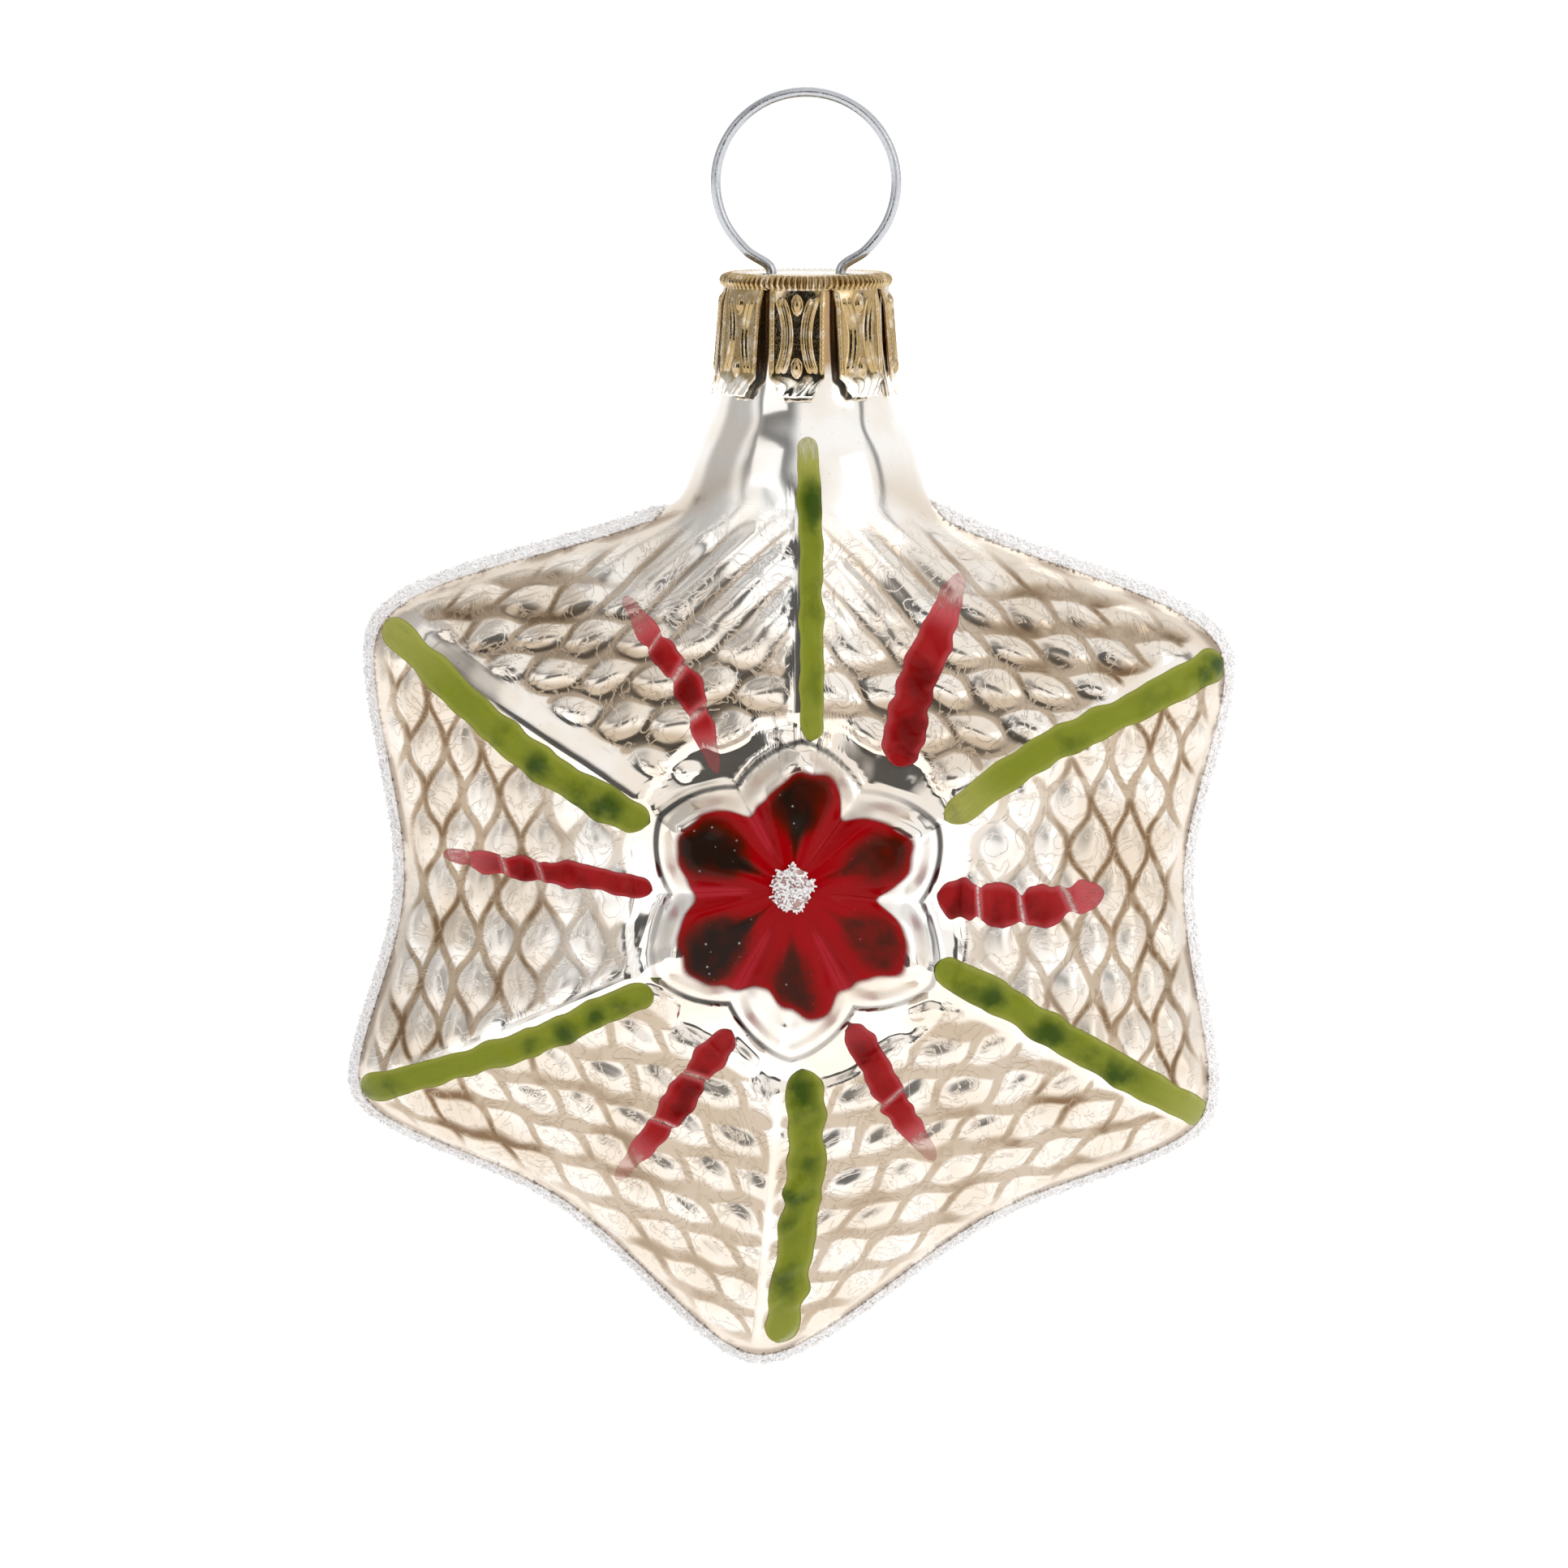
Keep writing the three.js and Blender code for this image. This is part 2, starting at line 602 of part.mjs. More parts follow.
function edgeFringe() {
    const steps = COLUMNS;
    const skipped = steps / HALF_SECTORS;
    const first = 3 * skipped;
    const indices = Array.from({ length: steps - 2 * skipped + 1 }, (_, index) => first + skipped + index);
    const wall = (offset) => indices.map((index) => {
        const angle = evenTurnAngle(index / steps);
        const reach = reachAt(angle) + offset;
        return new THREE.Vector2(reach * Math.cos(angle), reach * Math.sin(angle));
    });
    const band = new THREE.Shape([...wall(FRINGE_GAP + FRINGE_THICKNESS), ...wall(FRINGE_GAP).reverse()]);
    const geometry = new THREE.ExtrudeGeometry(band, { depth: 2 * FRINGE_HALF_WIDTH, bevelEnabled: false });
    geometry.rotateX(Math.PI / 2);
    return geometry.translate(STAR_SHIFT, FRINGE_HALF_WIDTH, 0);
}

// Finishes

const frostedSilver = { color: 0xd9d2c8, roughness: 0.35, metalness: 0.6 };
const brassFoil = { color: 0xd8c08a, roughness: 0.25, metalness: 1.0 };
const steelWire = { color: 0xb9bcc0, roughness: 0.25, metalness: 1.0 };
const oliveGreenPaint = { color: 0x7f9a2c, roughness: 0.5, metalness: 0.0 };
const redPaint = { color: 0xa81c22, roughness: 0.4, metalness: 0.0 };
const darkRedLacquer = { color: 0x5c0d12, roughness: 0.1, metalness: 0.2 };
const whiteGlitter = { color: 0xf4f2ee, roughness: 0.6, metalness: 0.1 };

function piece(name, geometry, finish) {
    const mesh = new THREE.Mesh(geometry, new THREE.MeshStandardMaterial(finish));
    mesh.name = name;
    return mesh;
}

// The assembly

const glass = new THREE.Group();
glass.add(piece('glass_star', geometryOf(OUTSIDE.subtract(glassInside())), frostedSilver));
GREEN_STROKES.forEach((stroke) => {
    const paint = coat(strokeShape(stroke));
    glass.add(piece(`green_stroke_${stroke.name}`, geometryOf(paint), oliveGreenPaint));
});
RED_STROKES.forEach((stroke) => {
    const paint = coat(strokeShape(stroke));
    glass.add(piece(`red_stroke_${stroke.name}`, geometryOf(paint), redPaint));
});
PETALS.forEach((name, index) => {
    const lacquer = coat(lacquerShape(index));
    glass.add(piece(`petal_lacquer_${name}`, geometryOf(lacquer), darkRedLacquer));
});
glass.add(piece('centre_glitter', geometryOf(centreDab()), whiteGlitter));
glass.add(piece('edge_glitter', edgeFringe(), whiteGlitter));

const cap = new THREE.Group();
cap.add(piece('crown_cap', geometryOf(crownCap()), brassFoil));

const hanger = new THREE.Group();
hanger.add(piece('wire_hanger', wireHanger(), steelWire));

const ornament = new THREE.Group();
ornament.add(hanger, cap, glass);
ornament.position.z = -HANG_HEIGHT;

export default ornament;
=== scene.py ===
"""A mouth-blown glass star with a crown cap and a sprung wire loop.

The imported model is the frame. Sizes are millimetres measured from the star's centre, as in the
part's own source, and `in_frame` turns them into metres in the frame. The painted front faces -Y.
"""

import logging
import math
from dataclasses import dataclass
from enum import Enum
from typing import Sequence

import bpy
import numpy as np
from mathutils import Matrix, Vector
from mathutils.bvhtree import BVHTree


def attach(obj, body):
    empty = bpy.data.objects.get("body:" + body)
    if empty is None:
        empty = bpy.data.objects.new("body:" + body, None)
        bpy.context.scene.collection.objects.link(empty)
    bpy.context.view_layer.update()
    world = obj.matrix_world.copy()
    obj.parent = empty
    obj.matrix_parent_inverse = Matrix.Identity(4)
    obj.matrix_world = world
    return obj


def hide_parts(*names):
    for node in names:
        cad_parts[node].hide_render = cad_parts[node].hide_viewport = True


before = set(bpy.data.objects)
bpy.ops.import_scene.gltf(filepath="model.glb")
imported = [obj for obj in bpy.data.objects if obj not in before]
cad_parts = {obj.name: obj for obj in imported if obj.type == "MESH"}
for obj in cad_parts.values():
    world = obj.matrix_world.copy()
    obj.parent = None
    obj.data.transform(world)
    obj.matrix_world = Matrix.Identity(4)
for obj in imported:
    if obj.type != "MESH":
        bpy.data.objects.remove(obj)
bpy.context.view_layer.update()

LOG = logging.getLogger("glass_star")
MM = 0.001
# Heights over the star's centre: where the loop hangs, and the cap's top
HANG_HEIGHT = 48.825
CAP_TOP = 38.05
# How far the star's middle line lies off the neck's axis
STAR_SHIFT = -0.65
# Half of the turn that one of the rosette's six petals takes, in degrees
HALF_PETAL = 30.0
# How often a search for the glass halves its step
HALVINGS = 30
# How far off the star's middle a ray starts that looks for the glass
RAY_START = 30.0
# How deep a coat's underside sits in the glass
COAT_SINK = 0.06

Colour = tuple[float, float, float]


class Side(Enum):
    """The face of the star that a piece lies on, as the sign of its y."""

    FRONT = -1
    BACK = 1


# Points and meshes


def in_frame(points: np.ndarray) -> np.ndarray:
    """Moves points to the frame.

    Args:
        points: Rows of x, y and z in millimetres from the star's centre height.

    Returns:
        The same points in metres, with the wire loop's inside top at the origin.
    """
    return (np.asarray(points, float) + [0.0, 0.0, -HANG_HEIGHT]) * MM


def smoothstep(values: np.ndarray, low: float, high: float) -> np.ndarray:
    """Rises smoothly from 0 at `low` to 1 at `high`.

    Args:
        values: What to map.
        low: The value that gives 0.
        high: The value that gives 1, which may be the smaller of the two.

    Returns:
        The mapped values.
    """
    t = np.clip((np.asarray(values, float) - low) / (high - low), 0.0, 1.0)
    return t * t * (3.0 - 2.0 * t)


def between(before: np.ndarray, start: np.ndarray, end: np.ndarray, after: np.ndarray,
            t: np.ndarray) -> np.ndarray:
    """Reads a Catmull-Rom curve between two of its knots.

    Args:
        before: The knot before `start`.
        start: The knot where `t` is 0.
        end: The knot where `t` is 1.
        after: The knot after `end`.
        t: The share of the way from `start` to `end`.

    Returns:
        The curve's values.
    """
    leave, arrive = (end - before) / 2.0, (after - start) / 2.0
    cubic = 2.0 * (start - end) + leave + arrive
    square = 3.0 * (end - start) - 2.0 * leave - arrive
    return ((cubic * t + square) * t + leave) * t + start


def smooth_line(points: Sequence[Sequence[float]], count: int) -> np.ndarray:
    """Draws an even Catmull-Rom line through points.

    Args:
        points: The points that the line passes through.
        count: How many points to give back.

    Returns:
        `count` points along the line.
    """
    knots = np.asarray(points, float)
    last = len(knots) - 1
    place = np.linspace(0.0, last, count)
    index = np.minimum(place.astype(int), last - 1)
    before, after = knots[np.maximum(index - 1, 0)], knots[np.minimum(index + 2, last)]
    return between(before, knots[index], knots[index + 1], after, (place - index)[:, None])


def ring_value(values: Sequence[float], turn: np.ndarray) -> np.ndarray:
    """Reads a closed ring of even-spaced values with a smooth curve.

    Args:
        values: The ring's values.
        turn: Places round the ring, where 1 is the whole turn.

    Returns:
        The value at each place.
    """
    ring = np.asarray(values, float)
    place = np.mod(turn, 1.0) * len(ring)
    index = np.floor(place).astype(int)
    knots = (ring[(index + step) % len(ring)] for step in (-1, 0, 1, 2))
    return between(*knots, place - index)


def bell(values: np.ndarray, middle: float, spread: float) -> np.ndarray:
    """Gives 1 at `middle` and falls off like a bell on both sides.

    Args:
        values: What to map.
        middle: The value that gives 1.
        spread: How far off the middle the result has fallen to about a third.

    Returns:
        The mapped values.
    """
    return np.exp(-((values - middle) / spread) ** 2)


def way_along(points: np.ndarray) -> np.ndarray:
    """Measures the way along a line to each of its points.

    Args:
        points: Rows of two coordinates.

    Returns:
        The distances from the first point.
    """
    return np.concatenate([[0.0], np.cumsum(np.hypot(*np.diff(points, axis=0).T))])


def grid_faces(index: np.ndarray, flip: bool = False) -> list[tuple[int, ...]]:
    """Joins a grid of vertex numbers with four-sided faces.

    Args:
        index: Vertex numbers by row and column.
        flip: Whether the faces look the other way.

    Returns:
        The faces, without those that have no area.
    """
    a, b = index[:-1, :-1].ravel(), index[1:, :-1].ravel()
    c, d = index[1:, 1:].ravel(), index[:-1, 1:].ravel()
    quads = np.stack([a, d, c, b] if flip else [a, b, c, d], axis=1).tolist()
    faces = [tuple(dict.fromkeys(quad)) for quad in quads]
    return [face for face in faces if len(face) > 2]


def make_piece(name: str, points: np.ndarray, faces: Sequence[Sequence[int]]) -> bpy.types.Object:
    """Makes a smooth-shaded mesh object that sits at the origin.

    Args:
        name: The piece's name.
        points: Vertices in millimetres from the star's centre height.
        faces: Vertex numbers of each face.

    Returns:
        The linked object.
    """
    mesh = bpy.data.meshes.new(name)
    mesh.from_pydata(in_frame(points).tolist(), [], list(faces))
    mesh.update()
    mesh.shade_smooth()
    piece = bpy.data.objects.new(name, mesh)
    bpy.context.scene.collection.objects.link(piece)
    return piece


def set_values(piece: bpy.types.Object, **values: np.ndarray) -> None:
    """Stores one number per vertex under each name.

    Args:
        piece: The mesh object.
        values: The numbers, by attribute name.
    """
    for name, numbers in values.items():
        attribute = piece.data.attributes.new(name, "FLOAT", "POINT")
        attribute.data.foreach_set("value", np.asarray(numbers, np.float32).ravel())


def baked(piece: bpy.types.Object) -> bpy.types.Object:
    """Turns a piece's modifiers into plain mesh.

    Args:
        piece: The object with live modifiers.

    Returns:
        The same object, with its evaluated mesh and no modifier.
    """
    graph = bpy.context.evaluated_depsgraph_get()
    mesh = bpy.data.meshes.new_from_object(piece.evaluated_get(graph), depsgraph=graph)
    piece.modifiers.clear()
    piece.data = mesh
    return piece


# Nodes


def opaque(colour: Colour) -> tuple[float, float, float, float]:
    """Gives a colour with full alpha."""
    return (*colour, 1.0)


class NodeSheet:
    """Adds nodes to one tree and joins them."""

    def __init__(self, tree: bpy.types.NodeTree) -> None:
        """Keeps the tree that the nodes go to."""
        self.tree = tree

    def add(self, kind: str, **settings: object) -> bpy.types.Node:
        """Adds a node.

        Args:
            kind: The node's type name.
            settings: Properties to set on it.

        Returns:
            The new node.
        """
        node = self.tree.nodes.new(kind)
        for name, value in settings.items():
            setattr(node, name, value)
        return node

    def feed(self, socket: bpy.types.NodeSocket, value: object) -> None:
        """Links another node's output to a socket, or sets the socket's own value.

        Args:
            socket: The socket that takes the value.
            value: An output socket, or a plain value.
        """
        if isinstance(value, bpy.types.NodeSocket):
            self.tree.links.new(value, socket)
        else:
            socket.default_value = value

    def math(self, operation: str, *values: object) -> bpy.types.NodeSocket:
        """Works out one number from others.

        Args:
            operation: The math node's operation.
            values: Numbers or sockets.

        Returns:
            The result's socket.
        """
        node = self.add("ShaderNodeMath", operation=operation)
        for socket, value in zip(node.inputs, values):
            self.feed(socket, value)
        return node.outputs[0]

    def times(self, first: object, *others: object) -> bpy.types.NodeSocket:
        """Multiplies numbers.

        Args:
            first: A number or a socket.
            others: The numbers or sockets to multiply it by.

        Returns:
            The product's socket.
        """
        for other in others:
            first = self.math("MULTIPLY", first, other)
        return first

    def line(self, value: object, slope: object, start: object) -> bpy.types.NodeSocket:
        """Gives `slope` times a value, plus `start`."""
        return self.math("MULTIPLY_ADD", value, slope, start)

    def ease(self, value: object, low: float, high: float, start: object = 0.0,
             end: object = 1.0) -> bpy.types.NodeSocket:
        """Maps a value smoothly from one range to another.

        Args:
            value: The number or socket to map.
            low: Where the result is `start`.
            high: Where the result is `end`.
            start: The first result.
            end: The last result.

        Returns:
            The mapped value's socket.
        """
        node = self.add("ShaderNodeMapRange", interpolation_type="SMOOTHSTEP")
        for socket, given in zip(node.inputs, (value, low, high, start, end)):
            self.feed(socket, given)
        return node.outputs[0]

    def blend(self, factor: object, first: object, second: object) -> bpy.types.NodeSocket:
        """Mixes two colours.

        Args:
            factor: How much of the second colour shows.
            first: A colour or its socket.
            second: A colour or its socket.

        Returns:
            The mixed colour's socket.
        """
        node = self.add("ShaderNodeMix", data_type="RGBA")
        self.feed(node.inputs[0], factor)
        self.feed(node.inputs[6], first)
        self.feed(node.inputs[7], second)
        return node.outputs[2]

    def layers(self, lowest: Colour, *layers: tuple[object, Colour]) -> bpy.types.NodeSocket:
        """Lays colours over each other.

        Args:
            lowest: The colour under all others.
            layers: For each layer, how much of it shows and its colour.

        Returns:
            The final colour's socket.
        """
        shown = opaque(lowest)
        for factor, colour in layers:
            shown = self.blend(factor, shown, opaque(colour))
        return shown

    def noise(self, scale: object, detail: float, vector: object = None,
              distortion: float = 0.0) -> bpy.types.NodeSocket:
        """Gives an even noise between 0 and 1.

        Args:
            scale: Features per metre, or per unit of `vector`.
            detail: Octaves.
            vector: The coordinates, or None for the piece's own.
            distortion: How far the noise is warped.

        Returns:
            The noise's socket.
        """
        node = self.add("ShaderNodeTexNoise")
        self.feed(node.inputs["Vector"], self.place() if vector is None else vector)
        self.feed(node.inputs["Scale"], scale)
        node.inputs["Detail"].default_value = detail
        node.inputs["Distortion"].default_value = distortion
        return node.outputs["Fac"]

    def place(self) -> bpy.types.NodeSocket:
        """Gives the piece's own coordinates in metres."""
        return self.add("ShaderNodeTexCoord").outputs["Object"]

    def value(self, name: str) -> bpy.types.NodeSocket:
        """Reads a number that is stored on the mesh."""
        return self.add("ShaderNodeAttribute", attribute_name=name).outputs["Fac"]

    def stored(self, name: str) -> bpy.types.NodeSocket:
        """Reads a stored number inside a geometry tree.

        Args:
            name: The number's attribute name.

        Returns:
            The number's socket.
        """
        node = self.add("GeometryNodeInputNamedAttribute", data_type="FLOAT")
        node.inputs["Name"].default_value = name
        return node.outputs["Attribute"]

    def group(self, tree: bpy.types.NodeTree, **values: object) -> bpy.types.Node:
        """Places a shader group.

        Args:
            tree: The group's tree.
            values: Its inputs by name, with spaces written as underscores.

        Returns:
            The group node.
        """
        node = self.add("ShaderNodeGroup", node_tree=tree)
        for name, value in values.items():
            self.feed(node.inputs[name.replace("_", " ")], value)
        return node


def new_tree(name: str, kind: str, inputs: Sequence[tuple[str, str]],
             outputs: Sequence[tuple[str, str]]) -> tuple[NodeSheet, bpy.types.Node, bpy.types.Node]:
    """Starts a node group.

    Args:
        name: The group's name.
        kind: The tree's type name.
        inputs: Name and type of each input.
        outputs: Name and type of each output.

    Returns:
        The sheet, the input node and the output node.
    """
    tree = bpy.data.node_groups.new(name, kind)
    for label, socket in inputs:
        tree.interface.new_socket(label, in_out="INPUT", socket_type=f"NodeSocket{socket}")
    for label, socket in outputs:
        tree.interface.new_socket(label, in_out="OUTPUT", socket_type=f"NodeSocket{socket}")
    sheet = NodeSheet(tree)
    return sheet, sheet.add("NodeGroupInput"), sheet.add("NodeGroupOutput")


def new_geometry_tree(name: str,
                      *sizes: tuple[str, str]) -> tuple[NodeSheet, bpy.types.Node, bpy.types.Node]:
    """Starts a geometry tree that takes a mesh, some sizes and a material.

    Args:
        name: The tree's name.
        sizes: Name and type of each size.

    Returns:
        The sheet, the input node and the output node.
    """
    geometry = ("Geometry", "Geometry")
    inputs = [geometry, *sizes, ("Material", "Material")]
    return new_tree(name, "GeometryNodeTree", inputs, [geometry])


def run_tree(piece: bpy.types.Object, tree: bpy.types.NodeTree,
             **values: object) -> bpy.types.Object:
    """Runs a geometry tree on a piece and keeps the result as plain mesh.

    Args:
        piece: The object to change.
        tree: The geometry tree.
        values: Its inputs by name, with spaces written as underscores.

    Returns:
        The same object, baked.
    """
    modifier = piece.modifiers.new(tree.name, "NODES")
    modifier.node_group = tree
    sockets = {item.name: item.identifier for item in tree.interface.items_tree
               if item.item_type == "SOCKET" and item.in_out == "INPUT"}
    for name, value in values.items():
        modifier[sockets[name.replace("_", " ")]] = value
    return baked(piece)


def finish_tree(sheet: NodeSheet, output: bpy.types.Node, geometry: bpy.types.NodeSocket,
                material: object) -> None:
    """Ends a geometry tree in real mesh with a material.

    Args:
        sheet: The tree's sheet.
        output: The group's output node.
        geometry: What the tree has made.
        material: The material or its socket.
    """
    realize = sheet.add("GeometryNodeRealizeInstances")
    dress = sheet.add("GeometryNodeSetMaterial")
    sheet.feed(realize.inputs["Geometry"], geometry)
    sheet.feed(dress.inputs["Geometry"], realize.outputs["Geometry"])
    sheet.feed(dress.inputs["Material"], material)
    sheet.feed(output.inputs["Geometry"], dress.outputs["Geometry"])


# Finishes


def mottle_group() -> bpy.types.NodeTree:
    """Builds the shared group of cloudy colour, fine specks and hairline wrinkles.

    Returns:
        A shader group that gives a cloud mask, a speck mask and a wrinkle height.
    """
    inputs = [("Cloud Scale", "Float"), ("Speck Scale", "Float"), ("Wrinkle Scale", "Float")]
    outputs = [("Cloud", "Float"), ("Specks", "Float"), ("Wrinkles", "Float")]
    sheet, given, result = new_tree("mottle", "ShaderNodeTree", inputs, outputs)
    cloud = sheet.noise(given.outputs["Cloud Scale"], 4.0)
    specks = sheet.add("ShaderNodeTexVoronoi")
    sheet.feed(specks.inputs["Vector"], sheet.place())
    sheet.feed(specks.inputs["Scale"], given.outputs["Speck Scale"])
    wrinkles = sheet.noise(given.outputs["Wrinkle Scale"], 5.0, distortion=2.5)
    off_middle = sheet.math("ABSOLUTE", sheet.math("SUBTRACT", wrinkles, 0.5))
    sheet.feed(result.inputs["Cloud"], sheet.ease(cloud, 0.35, 0.65))
    sheet.feed(result.inputs["Specks"], sheet.ease(specks.outputs["Distance"], 0.16, 0.06))
    sheet.feed(result.inputs["Wrinkles"], sheet.ease(off_middle, 0.0, 0.03, 1.0, 0.0))
    return sheet.tree


def lattice_group() -> bpy.types.NodeTree:
    """Builds the group that finds the grooves of the diamond lattice, with painted shade on the lower side of
    each pillow.

    Returns:
        A shader group that gives 1 on a groove's line and less to its sides.
    """
    names = ("Row", "Side", "Keep Rising", "Keep Falling", "Width", "Lean", "Upper")
    inputs = [(name, "Float") for name in names]
    sheet, given, result = new_tree("lattice", "ShaderNodeTree", inputs, [("Groove", "Float")])
    width, lean = given.outputs["Width"], given.outputs["Lean"]
    uneven = sheet.line(sheet.noise(420.0, 2.0), 0.16, -0.08)
    row = sheet.math("ADD", given.outputs["Row"], uneven)
    lines = []
    # On the upper and lower panels, one family of grooves spreads its colour over the lower side of each
    # pillow: painted shade where the pillow turns downward
    for operation, keep, sign in (("ADD", "Keep Rising", 0.4), ("SUBTRACT", "Keep Falling", -0.4)):
        past = sheet.math("FRACT", sheet.math(operation, row, given.outputs["Side"]))
        broad = sheet.math("MAXIMUM", sheet.times(lean, sign), 0.0)
        after = sheet.line(broad, given.outputs["Upper"], width)
        both = sheet.math("ADD", sheet.math("ADD", width, broad), width)
        before = sheet.math("SUBTRACT", both, after)
        upper = sheet.ease(past, 0.0, after, 1.0, 0.0)
        lower = sheet.ease(past, sheet.math("SUBTRACT", 1.0, before), 1.0)
        lines.append(sheet.times(sheet.math("MAXIMUM", upper, lower), given.outputs[keep]))
    sheet.feed(result.inputs["Groove"], sheet.math("MAXIMUM", *lines))
    return sheet.tree


def start_material(name: str) -> tuple[NodeSheet, bpy.types.Node, bpy.types.Material]:
    """Starts a material with one Principled shader.

    Args:
        name: The material's name.

    Returns:
        The sheet, the shader node and the material.
    """
    material = bpy.data.materials.new(name)
    material.use_nodes = True
    sheet = NodeSheet(material.node_tree)
    return sheet, material.node_tree.nodes["Principled BSDF"], material


def add_bump(sheet: NodeSheet, shader: bpy.types.Node, height: object, distance: float,
             strength: float = 1.0) -> None:
    """Feeds a height to the shader's normal.

    Args:
        sheet: The material's sheet.
        shader: The Principled node.
        height: The height's socket.
        distance: How deep a height of 1 is, in metres.
        strength: How much of the bump shows.
    """
    bump = sheet.add("ShaderNodeBump")
    bump.inputs["Strength"].default_value = strength
    bump.inputs["Distance"].default_value = distance
    sheet.feed(bump.inputs["Height"], height)
    sheet.feed(shader.inputs["Normal"], bump.outputs["Normal"])


def set_plain(shader: bpy.types.Node, **values: float) -> None:
    """Sets the shader's uniform values.

    Args:
        shader: The Principled node.
        values: The values by socket, with spaces written as underscores.
    """
    for name, value in values.items():
        shader.inputs[name.replace("_", " ")].default_value = value


@dataclass(frozen=True)
class Marks:
    """How fine a finish's clouds, specks and wrinkles are, as features per metre."""

    clouds: float
    specks: float
    wrinkles: float

    def place(self, sheet: NodeSheet, mottle: bpy.types.NodeTree) -> tuple[bpy.types.NodeSocket, ...]:
        """Places the mottle group in a material.

        Args:
            sheet: The material's sheet.
            mottle: The shared mottle group.

        Returns:
            The sockets of the clouds, the specks and the wrinkles.
        """
        node = sheet.group(mottle, Cloud_Scale=self.clouds, Speck_Scale=self.specks,
                           Wrinkle_Scale=self.wrinkles)
        return tuple(node.outputs)


@dataclass(frozen=True)
class SilveredGlass:
    """Glass that is silvered inside and has a pearly varnish, stained in its grooves, with painted shade on
    its upper and lower panels, on the lower side of each pillow and in the moat.
    """

    pearl: Colour = (0.80, 0.78, 0.75)
    cream: Colour = (0.73, 0.65, 0.56)
    stain: Colour = (0.36, 0.27, 0.18)
    dark_stain: Colour = (0.17, 0.10, 0.05)
    rim_tan: Colour = (0.60, 0.51, 0.41)
    # Colour of the painted shade: a dark line in the moat round the petals, standing in for a dark reflection
    moat_shade: Colour = (0.07, 0.065, 0.06)
    amber: Colour = (0.36, 0.20, 0.07)
    marks: Marks = Marks(260.0, 1500.0, 420.0)
    metallic: float = 0.9
    varnish_roughness: float = 0.34
    bare_roughness: float = 0.07
    groove_width: float = 0.2
    # How far outside the petals' rim the painted shade line runs
    moat_shade_line: float = 0.16
    wrinkle_depth: float = 0.00003

    def make(self, mottle: bpy.types.NodeTree) -> bpy.types.Material:
        """Builds the material.

        Args:
            mottle: The shared mottle group.

        Returns:
            The material.
        """
        sheet, shader, material = start_material("silvered_glass")
        cloud, specks, wrinkles = self.marks.place(sheet, mottle)
        zones = ("bare", "stain", "quilt", "top_bottom_panels", "rim")
        bare, stained, quilt, top_bottom_panels, rim = (sheet.value(name) for name in zones)
        names = ("row", "side", "keep_rising", "keep_falling", "lean", "upper")
        read = {name.title(): sheet.value(name) for name in names}
        lattice = sheet.group(lattice_group(), Width=self.groove_width, **read)
        groove = sheet.times(lattice.outputs["Groove"], quilt)
        # The cream and tan tints and the groove colour are partly random tone and real stain, and partly
        # painted shade: the upper and lower panels get more of them than the side panels
        creamy = sheet.line(cloud, 0.6, sheet.times(top_bottom_panels, 0.45))
        stain_and_panel_shade = sheet.math("MAXIMUM", stained, sheet.times(top_bottom_panels, 0.5))
        tan_stain_and_shade = sheet.times(sheet.line(cloud, 0.6, 0.35), stain_and_panel_shade, quilt)
        stain_and_shade = sheet.math("MAXIMUM", stained, sheet.times(top_bottom_panels, 0.8))
        soft = sheet.times(sheet.ease(groove, 0.15, 0.7), sheet.line(stain_and_shade, 0.55, 0.4))
        heavy = sheet.times(sheet.ease(groove, 0.5, 1.0), sheet.ease(sheet.times(stained, cloud), 0.15, 0.75))
        hairlines = sheet.times(sheet.line(sheet.times(soft, stained), 0.6, 0.28), quilt, wrinkles)
        edge = sheet.times(sheet.ease(rim, 0.7, 1.0), sheet.ease(cloud, 0.2, 0.7), 0.7)
        # Painted shade: a thin dark line in the moat round the petals, in place of the dark reflection there
        off_line = sheet.math("SUBTRACT", sheet.value("from_petals"), self.moat_shade_line)
        off_line = sheet.math("ABSOLUTE", off_line)
        moat_shaded = sheet.times(sheet.ease(off_line, 0.06, 0.3, 1.0, 0.0), sheet.value("moat_shade"))
        base = sheet.layers(
            self.pearl,
            (creamy, self.cream),
            (tan_stain_and_shade, self.rim_tan),
            (soft, self.stain),
            (heavy, self.dark_stain),
            (sheet.times(specks, stained, 0.35), self.dark_stain),
            (hairlines, self.stain),
            (sheet.times(rim, 0.85), self.rim_tan),
            (edge, self.dark_stain),
            # the painted shade line in the moat
            (sheet.times(moat_shaded, sheet.line(cloud, 0.5, 0.9)), self.moat_shade),
            (sheet.value("amber"), self.amber),
        )
        sheet.feed(shader.inputs["Base Color"], base)
        rough = sheet.line(cloud, 0.08, self.varnish_roughness)
        rough = sheet.line(sheet.value("gloss"), -0.18, rough)
        to_bare = sheet.math("SUBTRACT", self.bare_roughness, rough)
        sheet.feed(shader.inputs["Roughness"], sheet.line(to_bare, bare, rough))
        set_plain(shader, Metallic=self.metallic, Coat_Weight=0.12, Coat_Roughness=0.15)
        waves = sheet.noise(330.0, 1.0)
        height = sheet.line(waves, sheet.times(bare, 6.0), sheet.times(wrinkles, quilt))
        add_bump(sheet, shader, height, self.wrinkle_depth, 0.6)
        return material


